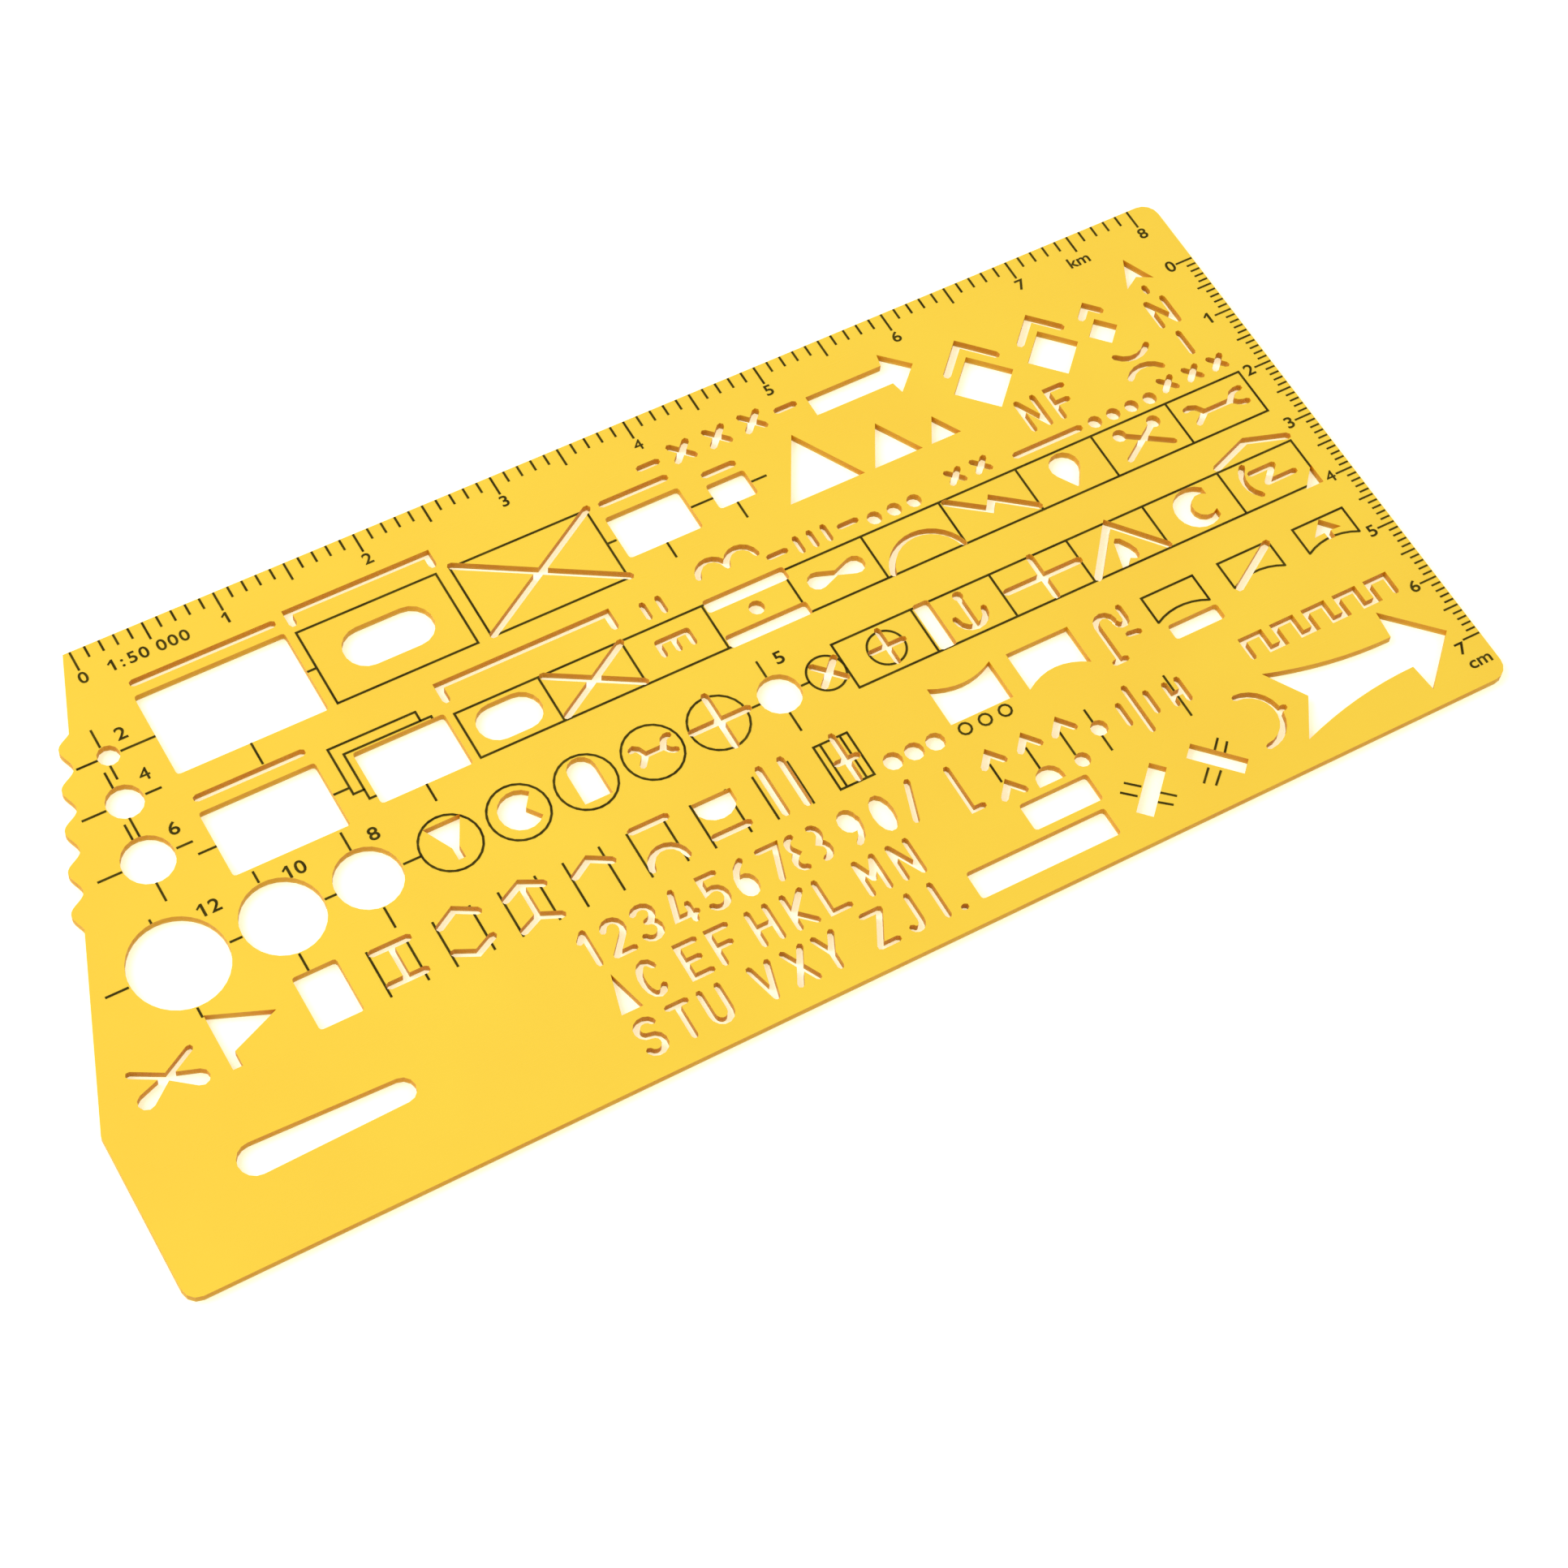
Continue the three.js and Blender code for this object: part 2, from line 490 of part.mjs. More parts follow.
/** Cut-outs of the upper strip, cell by cell. */
function upperStrip() {
  const cell = (k) => [column(k + 0.5), STRIP_ROW];
  const inCell = (k, points) => move(cell(k), points);
  const point = (k, x, y) => inCell(k, [[x, y]])[0];
  const drop = taper(point(7, 0, 1), 2.15, point(7, 0, -2.5), 0.25);
  const [end, beam, foot] = [0.485, 0.625, 0.585]; // inside the cell's sides
  const boltEnd = [CELL_RIGHT - end, beam - CELL_TOP];
  const bolt = [boltEnd.map((value) => -value), [-0.6, -0.6], [0.45, 0.85], boltEnd];
  const [lobe, lobeRadius, waist] = [2.85, 1.4, 0.4]; // of a bow tie; the waist is half its height
  const bowTie = [-1, 1].map((side) => taper(point(4, lobe * side, 0), lobeRadius, cell(4), waist));
  const comb = [-2.15, 0, 2.15].map((x) => slot(...inCell(2, [[x, 1.05], [x, -0.95]]), FINE_SLOT));
  const hammers = [-1, 1].flatMap((side) => [
    slot(...inCell(8, [[3.5 * side, -2.3], [-2.7 * side, 1.75]]), FINE_SLOT),
    disc(point(8, -2.7 * side, 1.75), 2),
  ]);
  return [
    dash(point(0, -0.2, 0), SMALL_STADIUM.length, SMALL_STADIUM.width),
    ...cross(cell(1), CELL_WIDTH - 0.7, CELL_HEIGHT - 0.65),
    ...comb,
    slot(...inCell(2, [[-2.15, 1.05], [2.15, 1.05]]), FINE_SLOT),
    ...[1, -1].map((side) => box(point(3, 0.1, side * (CELL_TOP - beam)), CELL_WIDTH + 0.2, 2.1)),
    disc(cell(3), 2.2),
    ...bowTie,
    arch(point(5, 0.05, 0.025 - CELL_TOP), CELL_WIDTH - 2 * foot, 4.2),
    ...path(inCell(6, bolt)),
    drop,
    ...hammers,
    ...spanner(cell(9), 1),
  ];
}

/** An open-ended spanner drawn with slots. */
function spanner(centre, size) {
  const scaled = (points) => move(centre, points.map(([x, y]) => [x * size, y]));
  const [leftJaw, rightJaw] = [[[-4.4, 1.2], [-3.7, 1.35], [-2.9, 1]], [[2.9, 0.95], [3.6, 1.2], [4.3, 1.2]]];
  return [
    ...path(scaled([...leftJaw, [-2.1, -0.1], [2.1, -0.1], ...rightJaw]), FINE_SLOT),
    slot(...scaled([[-2.1, -0.1], [-3.8, -1.4]]), FINE_SLOT),
    ...path(scaled([[2.1, -0.1], [2.9, -0.8], [3.6, -1.1], [4.2, -1.15]]), FINE_SLOT),
  ];
}

/** Cut-outs of the five printed rings and of the small one beside the last round hole. */
function ringFigures() {
  const rim = RING_DIAMETER / 2;
  const [brim, mouth, stem, neck, foot] = [rim - 1.5, rim - 1.1, 0.5, -1, 1.25 - rim];
  const funnel = [[-brim, mouth], [-stem, neck], [-stem, foot], [stem, foot], [stem, neck], [brim, mouth]];
  const jaw = 0.7; // half its angle
  const notched = [...arc([0, 0], rim - 1.15, jaw, 2 * Math.PI - jaw), [0.8, 0]];
  const [half, sill] = [1.95, 1.05 - rim];
  const door = [[-half, sill], [half, sill], ...arc([0, rim - 2.45], half, 0, Math.PI)];
  return [
    polygon(move(ringAt(0), funnel)),
    polygon(move(ringAt(1), notched)),
    polygon(move(ringAt(2), door)),
    ...spanner(ringAt(3), 0.62),
    ...plus(ringAt(4), RING_DIAMETER + 1.1, RING_DIAMETER + 1.1),
    ...cross([LOWER_LEFT - 2.58, RING_ROW], 3.3, 3.3, 1),
  ];
}

/** Cut-outs of the lower strip, cell by cell. */
function lowerStrip() {
  const cell = (k) => [column(FIRST_LOWER_CELL + k + 0.5), RING_ROW];
  const inCell = (k, points) => move(cell(k), points);
  const point = (k, x, y) => inCell(k, [[x, y]])[0];
  const [outerGap, innerGap] = [0.82, 0.85]; // half the crescent's open angle
  const crescent = [
    ...arc(point(4, 0.35, 0.05), 3.3, outerGap, 2 * Math.PI - outerGap),
    ...arc(point(4, 1.45, 0), 1.75, 2 * Math.PI - innerGap, innerGap),
  ];
  const anchor = [
    upright(point(1, 0.3, 0.1), 5.6, FINE_SLOT),
    arcSlot(point(1, 0.3, -0.6), 2.15, Math.PI, 2 * Math.PI, FINE_SLOT),
    disc(point(1, 0.3, CELL_TOP - 1.225), 1.5),
  ];
  const sill = -CELL_TOP - 0.075;
  const rightLeaf = [[-0.85, sill], [-0.1, -2.8], [0.5, -3.15], [1, -3.3], [1.35, -2.8], [1.45, -1.9]];
  const tent = [...rightLeaf, [1.1, -0.9], [0.3, 0.45], [-0.3, 0.75], [-0.75, 0.3], [-1.85, sill]];
  const eave = CELL_RIGHT - 0.385;
  const ridge = [[-eave, 0.075 - CELL_TOP], [0, CELL_TOP - 0.475], [eave, 0.375 - CELL_TOP]];
  const [leftEave, rightEave] = [0.185 - CELL_RIGHT, CELL_RIGHT - 0.285];
  const roof = [[leftEave, CELL_TOP + 0.475], [0, CELL_TOP + 2.575], [rightEave, CELL_TOP + 0.675]];
  const [wedge, low, wedgeRight] = [2.8, -CELL_TOP - 0.575, CELL_RIGHT - 0.085];
  const dish = [
    arcSlot(point(5, -0.5, 0.25), 3.3, Math.PI - 0.85, Math.PI + 0.85, FINE_SLOT),
    ...path(inCell(5, [[-2.3, 1.3], [1.3, 1.3], [-0.9, -0.9], [3.4, -0.9]]), FINE_SLOT),
    polygon(inCell(5, [[wedgeRight - wedge, low], [wedgeRight, low], [wedgeRight, low + 3.15]])),
  ];
  return [
    ...plus(point(0, 0.15, 0), 5.8, CELL_HEIGHT - 1.15, FINE_SLOT),
    box(point(1, 1.285 - CELL_RIGHT, 0), 2.4, CELL_HEIGHT + 0.4),
    ...anchor,
    ...plus(cell(2), CELL_WIDTH + 0.3, CELL_HEIGHT + 0.5),
    ...path(inCell(3, ridge)),
    polygon(inCell(3, tent)),
    polygon(crescent),
    ...path(inCell(5, roof)),
    ...dish,
  ];
}

/** Crossed clubs, a pennant and an upright frame, left of the bridge symbols. */
function leftFigures() {
  const y = BRIDGE_ROW;
  const [thin, thick] = [0.48, 1.15]; // radii of a club's grip and head
  const clubs = [-1, 1].flatMap((side) => {
    const at = (x, rise) => [side * x - 14.5, y + rise];
    const waist = at(0, -0.9);
    return [slot(at(-3.95, 1.3), waist, 2 * thin), taper(waist, thin, at(3.55, -2.85), thick)];
  });
  const pennant = [[-7.2, 4.5], [-7.2, -3.8], [-5.9, -3.8], [-5.9, -1.6], [0.9, 1.2]];
  return [
    ...clubs,
    polygon(move([0, y], pennant)),
    pierced([7.3, y + 0.15], UPRIGHT_FRAME),
  ];
}

/** The eight bridge symbols. */
function bridges() {
  const at = (i, points) => move(bridgeAt(i), points);
  const point = (i, x, y) => at(i, [[x, y]])[0];
  const bar = 6; // overall length of a level slot
  const half = 2.65; // half the width of a roof
  const [lip, bowlRadius, side] = [3.15, 3.15, 0.5]; // the round bottom stops this angle short of each side
  const bottom = arc([0, 2.75], bowlRadius, Math.PI + side, 2 * Math.PI - side);
  const bowl = [[2.8, lip], [-2.8, lip], ...bottom];
  return [
    dash(point(0, 0, 2.7), bar),
    dash(point(0, 0, -2.3), bar),
    upright(point(0, 0, 0.2), bar, FINE_SLOT),
    ...chevron(point(1, 0.1, 3.55), half, 1.5),
    ...chevron(point(1, 0.1, -3.2), half, -1.3),
    ...chevron(point(2, 0, 3.1), half, 1.35),
    upright(point(2, 0, 0.4), bar, FINE_SLOT),
    ...chevron(point(2, 0, -2), half, 1.2),
    ...chevron(point(3, 0.1, 2.25), half, 1.55),
    dash(point(4, 0.15, 3.2), bar),
    arch(point(4, 0, -2.9), 5, 2.4, 1),
    polygon(at(5, bowl)),
    dash(point(5, 0, -2.4), bar),
    ...[-1.7, 1.45].map((x) => upright(point(6, x, 0.25), 8.2)),
    upright(point(7, -0.05, 0.3), 8, 1),
    dash(point(7, 0, -0.1), 4, 1),
  ];
}

/** Dots, two curved shields, a hook and the figures of the three flags. */
function rightFigures() {
  const y = BRIDGE_ROW;
  const dots = [0, 1, 2].map((i) => disc([bridgeAt(7)[0] + 5.1 + 3.15 * i, y - 3], 2.7));
  const half = 4.7;
  const dished = [[-half, -1.8], [half, -1.8], ...sweep([half, 4.3], [0, 1.8], [-half, 4.3])];
  const domed = [[half, 4.2], [-half, 4.2], ...sweep([-half, -1.9], [0, 1.1], [half, -1.9])];
  const hookX = column(6) + 8.1;
  const hook = [
    slot([hookX, y + 2.3], [hookX, y - 3.4], FINE_SLOT),
    dash([hookX, y - 3.5], 2.6, FINE_SLOT),
    arcSlot([hookX + 1.25, y + 2.3], 1.25, 0, Math.PI, FINE_SLOT),
    arcSlot([hookX + 3.3, y + 1.9], 0.8, Math.PI, 2 * Math.PI, FINE_SLOT),
    slot([hookX + 4.1, y + 1.9], [hookX + 4.1, y + 3.7], FINE_SLOT),
    slot([hookX + 3.1, y - 0.5], [hookX + 4.6, y - 0.7], FINE_SLOT),
  ];
  const upArrow = [[0, 3.3], [-2.1, 1], [-0.5, 1.1], [-0.5, -0.1], [0.5, -0.1], [0.5, 1.1], [2.1, 1]];
  return [
    ...dots,
    polygon(move([SHIELD_LEFT, y], dished)),
    polygon(move([column(6) - 0.1, y], domed)),
    ...hook,
    box([column(7) + 8.25, y - 2.95], 7.7, 2.4),
    slot([column(8) + 4.25, y - 1.1], [column(8) + 11.4, y + 3.3]),
    polygon(move([column(9) + 7.8, y], upArrow)),
  ];
}

// Each sign's place, from the left side of the strips
const DIGITS = [
  ["1", -0.9], ["2", 2.7], ["3", 6.9], ["4", 11.7], ["5", 16.4], ["6", 20.8],
  ["7", 25.1], ["8", 30.2], ["9", 36.3], ["0", 40.8], ["/", 44.9],
];
const UPPER_LETTERS = [
  ["A", -0.5], ["C", 3.7], ["E", 9.6], ["F", 14], ["H", 19.6],
  ["K", 24.6], ["L", 29.2], ["M", 35], ["N", 39.9],
];
const LOWER_LETTERS = [
  ["S", -0.2], ["T", 4.6], ["U", 9], ["V", 16], ["X", 20.7],
  ["Y", 25.1], ["Z", 32.1], ["J", 36.5], ["I", 40.6], [".", 43],
];

function lettering() {
  const written = (signs, y) => signs.flatMap(([sign, x]) => letter(sign, [FIELD_LEFT + x, y]));
  return [
    ...written(DIGITS, DIGIT_ROW),
    ...written(UPPER_LETTERS, LETTER_ROW),
    ...written(LOWER_LETTERS, LAST_ROW),
  ];
}

/** Small arrows, dots and bars right of the digits. */
function arrowMarks() {
  const y = DIGIT_ROW;
  const fine = FINE_SLOT;
  const heads = [column(5) - 2.75, column(5) + 2.65, column(5) + 7.85];
  const dome = [[-1.95, -6.05], [1.95, -6.05], ...arc([0, -5.45], 1.95, 0, Math.PI, SWEEP_STEPS)];
  const bars = column(6) + 6.13;
  const pair = column(7) + 0.05;
  return [
    ...path([[column(4) + 3.3, y + 1.85], [column(4) + 3.3, y - 4.85], [column(4) + 4.8, y - 4.85]], fine),
    ...heads.flatMap((x) => chevron([x, y + 1.45], 1.45, 1.7, 1)),
    ...chevron([heads[0], y - 3.55], 1.5, 1.75, 1),
    polygon(move([heads[1] - 0.15, y], dome)),
    disc([heads[2] - 0.2, y - 4.95], 2.2),
    disc([column(6) + 0.1, y - 1.9], 2.4),
    upright([bars, y - 1.75], 7.9, fine),
    ...[-2.1, 2.1].map((x) => upright([bars + x, y - 1.65], 3.9, fine)),
    ...[-0.95, 0.95].map((x) => upright([pair + x, y - 1.85], 4.1, fine)),
    dash([pair, y - 2.05], 2.6, fine),
  ];
}

/** A square wave of equal teeth. */
function meander() {
  const [teeth, top, gap, rise] = [5, 2.8, 2.15, 2.75];
  const start = [column(8) - 0.05, DIGIT_ROW - 1.95];
  const points = Array.from({ length: teeth }, (_, i) => i * (top + gap)).flatMap((x) =>
    [[x, 0], [x, rise], [x + top, rise], [x + top, 0]]);
  return path(move(start, points), FINE_SLOT);
}

/** The two level frames, the two slanted bars, the half ring and the swept arrow of the last rows. */
function lowerFigures() {
  const slanted = (x, turn) => {
    const [long, short] = [3.85, 1.15];
    const points = [[-long, -short], [long, -short], [long, short], [-long, short]];
    const turned = points.map(([u, v]) => [(u - turn * v) * Math.SQRT1_2, (turn * u + v) * Math.SQRT1_2]);
    return polygon(move([x, LAST_ROW + 1.2], turned));
  };
  const axis = LETTER_ROW - 3.2;
  const half = [column(7) + 6.2, axis];
  const [tail, notch, shaft, neck, head, barb, tip] = [5.6, 3.6, 2.6, 18.4, 6.7, 18.8, 25.6];
  const arrow = [
    ...sweep([0, -tail], [neck / 2, -shaft], [neck, -shaft]),
    [barb, -head],
    [tip, 0],
    [barb, head],
    ...sweep([neck, shaft], [neck / 2, shaft], [0, tail]),
    [notch, 0],
  ];
  return [
    box([column(5) + 1.85, LETTER_ROW - 1.95], SHORT_LEVEL_FRAME, LEVEL_FRAME_HEIGHT),
    box([column(5) - 4.05, LAST_ROW - 0.35], LONG_LEVEL_FRAME, LEVEL_FRAME_HEIGHT),
    slanted(column(6) + 1.1, 1),
    slanted(column(7) - 0.8, -1),
    arcSlot(half, 4.1, -Math.PI / 2, Math.PI / 2, FINE_SLOT),
    dash([half[0] + 4.55, axis], 1.8, FINE_SLOT),
    polygon(move([column(8) - 0.6, axis], arrow)),
  ];
}

/** The long hole to hang the sheet by. */
function hangSlot() {
  const { left, leftRadius, right, rightRadius } = HANG_SLOT;
  return taper([left, LETTER_ROW + 0.6], leftRadius, [right, LETTER_ROW + 0.5], rightRadius);
}

/** An outline raised through the sheet and its print. */
const cutter = (shape) => prism(shape, -CUT_THROUGH, THICKNESS + CUT_THROUGH);

/** One solid of every cutter. */
function allCutters() {
  const shapes = [
    ...CIRCLES.map(({ at, size }) => disc(at, size + PEN)),
    ...frameRow(),
    ...barrierLine(),
    blockArrow(),
    ...triangles(),
    ...diamonds(),
    ...northMark(),
    ...smallFigures(),
    ...markLine(),
    ...upperStrip(),
    ...ringFigures(),
    ...lowerStrip(),
    ...leftFigures(),
    ...bridges(),
    ...rightFigures(),
    ...lettering(),
    ...arrowMarks(),
    ...meander(),
    ...lowerFigures(),
    hangSlot(),
  ];
  return join(shapes.map(cutter));
}

// Print: each connected figure that the cut-outs leave is one piece of ink

const inked = (shape) => prism(shape, THICKNESS, THICKNESS + INK_THICKNESS);

/** A printed line along a broken line. */
const line = (points) => join(path(move(PRINT_SHIFT, points), INK_LINE).map(inked));

/** A printed ring. */
function ring(centre, diameter) {
  const [at] = move(PRINT_SHIFT, [centre]);
  const shape = disc(at, diameter + INK_LINE);
  shape.holes.push(disc(at, diameter - INK_LINE));
  return inked(shape);
}

/** A printed row of equal cells, about the middle of its left side. */
function cells(left, width, height, count) {
  const [[x, y]] = move(PRINT_SHIFT, [left]);
  const room = (from, to, half) =>
    polygon([[from, y - half], [to, y - half], [to, y + half], [from, y + half]]);
  const edge = INK_LINE / 2;
  const whole = inked(room(x - edge, x + count * width + edge, height / 2 + edge));
  const rooms = Array.from({ length: count }, (_, k) => x + k * width).map((from) =>
    cutter(room(from + edge, from + width - edge, height / 2 - edge)));
  return whole.subtract(join(rooms));
}

/** The two printed frames of the first row, each linked to the hole beside it. */
function printedFrames() {
  const { width, height } = PRINTED_FRAME;
  const [big, stadium, crossed, medium] = frameSides();
  const link = (from, to) => line([[from, FRAME_ROW], [to, FRAME_ROW]]);
  const frame = ({ left }) => cells([left, FRAME_ROW], width, height, 1);
  return {
    ink_stadium_frame: frame(stadium).add(link(big.right, stadium.left)),
    ink_cross_frame: frame(crossed).add(link(crossed.right, medium.left)),
  };
}

/** Two sheets of a stack that show behind the stack frame's upper left corner. */
function stackLines() {
  const { width, height } = STACK_FRAME;
  const top = STRIP_ROW + holed(height) / 2;
  const behind = (n) => {
    const [x, y] = [STACK_LEFT - n * STACK_STEP + 0.8, top + n * STACK_STEP - 0.95];
    const low = y - height;
    const far = x + width + 0.4;
    return line([[x + STACK_STEP, low], [x, low], [x, y], [far, y], [far, y - STACK_STEP]]);
  };
  return { ink_stack_outer: behind(2), ink_stack_inner: behind(1) };
}

/** Three printed flags with a curved lower edge. */
function flags() {
  const [width, height, rise, inset] = [8, 4.3, 1, 3.95];
  const top = BRIDGE_ROW + 3.65;
  const make = (k) => {
    const x = column(k) + inset;
    const low = top - height;
    const edge = arch(move(PRINT_SHIFT, [[x + width / 2, low]])[0], width, rise, INK_LINE);
    const sides = line([[x, low], [x, top], [x + width, top], [x + width, low]]);
    return sides.add(inked(edge));
  };
  return { ink_plain_flag: make(7), ink_barred_flag: make(8), ink_arrow_flag: make(9) };
}

function inkFigures() {
  const rings = ["funnel", "notch", "door", "spanner", "cross"].map((name, i) =>
    [`ink_${name}_ring`, ring(ringAt(i), RING_DIAMETER)]);
  const wheelPitch = 3;
  const wheels = [-1, 0, 1].map((i) =>
    [`ink_wheel_${i + 2}`, ring([SHIELD_LEFT - 0.05 + wheelPitch * i, BRIDGE_ROW - 2.9], WHEEL_DIAMETER)]);
  return {
    ...printedFrames(),
    ink_upper_strip: cells([column(0), STRIP_ROW], CELL_WIDTH, CELL_HEIGHT, UPPER_CELLS),
    ink_lower_strip: cells([LOWER_LEFT, RING_ROW], CELL_WIDTH, CELL_HEIGHT, LOWER_CELLS),
    ...stackLines(),
    ...Object.fromEntries(rings),
    ...flags(),
    ...Object.fromEntries(wheels),
  };
}

/** The pieces that a printed figure falls into where the cut-outs cross it. */
function inkMeshes(cutters) {
  return Object.entries(inkFigures()).flatMap(([name, figure]) => {
    const pieces = figure.subtract(cutters).decompose().filter((piece) => piece.volume() > INK_LEAST);
    const named = (i) => (pieces.length > 1 ? `${name}_${i + 1}` : name);
    return pieces.map((piece, i) => meshOf(piece, named(i), INK));
  });
}

const cutters = allCutters();
const sheet = prism(sheetOutline(), 0, THICKNESS).subtract(cutters);

const template = new THREE.Group();
template.name = "drafting_template";
template.add(meshOf(sheet, "sheet", TINTED_PLASTIC));
template.add(...inkMeshes(cutters));
template.position.set(-(SHEET_LEFT + SHEET_RIGHT) / 2, -SHEET_BOTTOM / 2, 0);

export default template;
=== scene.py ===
"""Dresses a drafting template: its tinted plastic sheet, the print on it and the studio round it.

Places and sizes on the printed face are in millimetres: x runs right from the zero line of the long scale,
and y runs up from the top edge, so it is negative. A finished piece is in the frame's metres.
"""

import json
import logging
import math
from abc import ABC, abstractmethod
from dataclasses import dataclass, field
from enum import Enum

import bmesh
import bpy
from mathutils import Euler, Matrix, Vector


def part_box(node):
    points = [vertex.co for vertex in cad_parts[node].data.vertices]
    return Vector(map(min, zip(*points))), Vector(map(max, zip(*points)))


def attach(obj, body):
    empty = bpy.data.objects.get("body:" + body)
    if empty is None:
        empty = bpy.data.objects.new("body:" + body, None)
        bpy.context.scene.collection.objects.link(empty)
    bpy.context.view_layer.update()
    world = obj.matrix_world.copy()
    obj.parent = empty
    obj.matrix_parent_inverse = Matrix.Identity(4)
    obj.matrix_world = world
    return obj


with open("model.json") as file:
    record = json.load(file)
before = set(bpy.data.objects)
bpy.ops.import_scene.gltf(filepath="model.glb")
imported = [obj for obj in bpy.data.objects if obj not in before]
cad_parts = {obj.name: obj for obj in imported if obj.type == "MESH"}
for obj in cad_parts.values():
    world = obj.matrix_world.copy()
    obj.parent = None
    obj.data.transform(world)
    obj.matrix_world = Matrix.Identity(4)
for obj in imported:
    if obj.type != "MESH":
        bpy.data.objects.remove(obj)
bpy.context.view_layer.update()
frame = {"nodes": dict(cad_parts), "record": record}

LOG = logging.getLogger("drafting_template")
BODY = "root"
SHEET_NODE = "sheet"
MM = 0.001
MERGE_DISTANCE = 0.0001
ZERO_TO_RIGHT_EDGE = 163.9
INK_LINE = 0.3
INK_HEIGHT = 0.05

Point = tuple[float, float]
Span = tuple[float, float]
Place = tuple[float, float, float]
Colour = tuple[float, float, float, float]


class Slot(Enum):
    """The record's material slots."""

    SHEET = "sheet"
    INK = "ink"


class Axis(Enum):
    """Which way a printed line runs on the face."""

    ACROSS = "across"
    UP = "up"


class SocketKind(Enum):
    """What a socket of a shader group carries."""

    VALUE = "NodeSocketFloat"
    COLOUR = "NodeSocketColor"


# Small helpers


def add_object(name: str, data: bpy.types.ID) -> bpy.types.Object:
    """Makes an object and puts it in the scene.

    Args:
        name: The object's name.
        data: Its mesh, curve, lamp or camera.

    Returns:
        The object.
    """
    made = bpy.data.objects.new(name, data)
    bpy.context.scene.collection.objects.link(made)
    return made


def to_mesh(shape: bmesh.types.BMesh, name: str) -> bpy.types.Mesh:
    """Turns a finished bmesh into a mesh.

    Args:
        shape: The bmesh, which is freed.
        name: The mesh's name.

    Returns:
        The mesh.
    """
    mesh = bpy.data.meshes.new(name)
    shape.to_mesh(mesh)
    shape.free()
    return mesh


def evaluated_mesh(piece: bpy.types.Object) -> bpy.types.Mesh:
    """Makes a mesh of an object as its text or its modifiers shape it.

    Args:
        piece: The object, which is in the scene.

    Returns:
        The new mesh.
    """
    graph = bpy.context.evaluated_depsgraph_get()
    return bpy.data.meshes.new_from_object(piece.evaluated_get(graph))


def mesh_box(mesh: bpy.types.Mesh) -> tuple[Vector, Vector]:
    """Finds the box round a mesh.

    Args:
        mesh: The mesh.

    Returns:
        The lowest and the highest corner.
    """
    places = [corner.co for corner in mesh.vertices]
    low = Vector([min(place[i] for place in places) for i in range(3)])
    high = Vector([max(place[i] for place in places) for i in range(3)])
    return low, high


# Shader groups and finishes


class Wiring:
    """A node tree, with short ways to add a node and to join two sockets."""

    def __init__(self, tree: bpy.types.NodeTree) -> None:
        """Keeps the tree that is wired."""
        self.tree = tree

    def node(
        self,
        kind: str,
        settings: dict[str | int, float | Place | Colour] | None = None,
        **options: object,
    ) -> bpy.types.Node:
        """Adds a node.

        Args:
            kind: The node's type without its ShaderNode prefix.
            settings: Values of its input sockets, by name or number.
            options: Properties of the node itself.

        Returns:
            The new node.
        """
        node = self.tree.nodes.new(f"ShaderNode{kind}")
        for name, value in options.items():
            setattr(node, name, value)
        for socket, value in (settings or {}).items():
            node.inputs[socket].default_value = value
        return node

    def map_range(self, span: Span, **options: object) -> bpy.types.Node:
        """Adds a node that maps the given span to the values from 0 to 1."""
        return self.node("MapRange", {"From Min": span[0], "From Max": span[1]}, **options)

    def join(self, start: bpy.types.NodeSocket, end: bpy.types.NodeSocket) -> None:
        """Joins two sockets."""
        self.tree.links.new(start, end)


class ShaderGroup(Wiring):
    """A shader node group with named sockets, built once and placed in several materials."""

    def __init__(self, name: str, takes: dict[str, SocketKind], gives: dict[str, SocketKind]) -> None:
        """Starts a group that has only its sockets.

        Args:
            name: The group's name.
            takes: Its inputs, by name.
            gives: Its outputs, by name.
        """
        super().__init__(bpy.data.node_groups.new(name, "ShaderNodeTree"))
        self.inlet = self.tree.nodes.new("NodeGroupInput")
        self.outlet = self.tree.nodes.new("NodeGroupOutput")
        for way, sockets in (("INPUT", takes), ("OUTPUT", gives)):
            for socket, kind in sockets.items():
                self.tree.interface.new_socket(name=socket, in_out=way, socket_type=kind.value)


@dataclass(frozen=True)
class SoftClouds:
    """The shader group that drifts between two colours in soft clouds."""

    detail: float = 3.0
    roughness: float = 0.55
    spread: Span = (0.32, 0.68)

    def group(self) -> bpy.types.NodeTree:
        """Builds the group.

        Returns:
            The group's tree.
        """
        group = ShaderGroup(
            "soft_clouds",
            takes={"First": SocketKind.COLOUR, "Second": SocketKind.COLOUR, "Scale": SocketKind.VALUE},
            gives={"Colour": SocketKind.COLOUR},
        )
        place = group.node("TexCoord")
        clouds = group.node("TexNoise", {"Detail": self.detail, "Roughness": self.roughness})
        spread = group.map_range(self.spread)
        mix = group.node("Mix", data_type="RGBA")
        group.join(place.outputs["Object"], clouds.inputs["Vector"])
        group.join(group.inlet.outputs["Scale"], clouds.inputs["Scale"])
        group.join(clouds.outputs["Fac"], spread.inputs["Value"])
        group.join(spread.outputs["Result"], mix.inputs["Factor"])
        group.join(group.inlet.outputs["First"], mix.inputs["A"])
        group.join(group.inlet.outputs["Second"], mix.inputs["B"])
        group.join(mix.outputs["Result"], group.outlet.inputs["Colour"])
        return group.tree


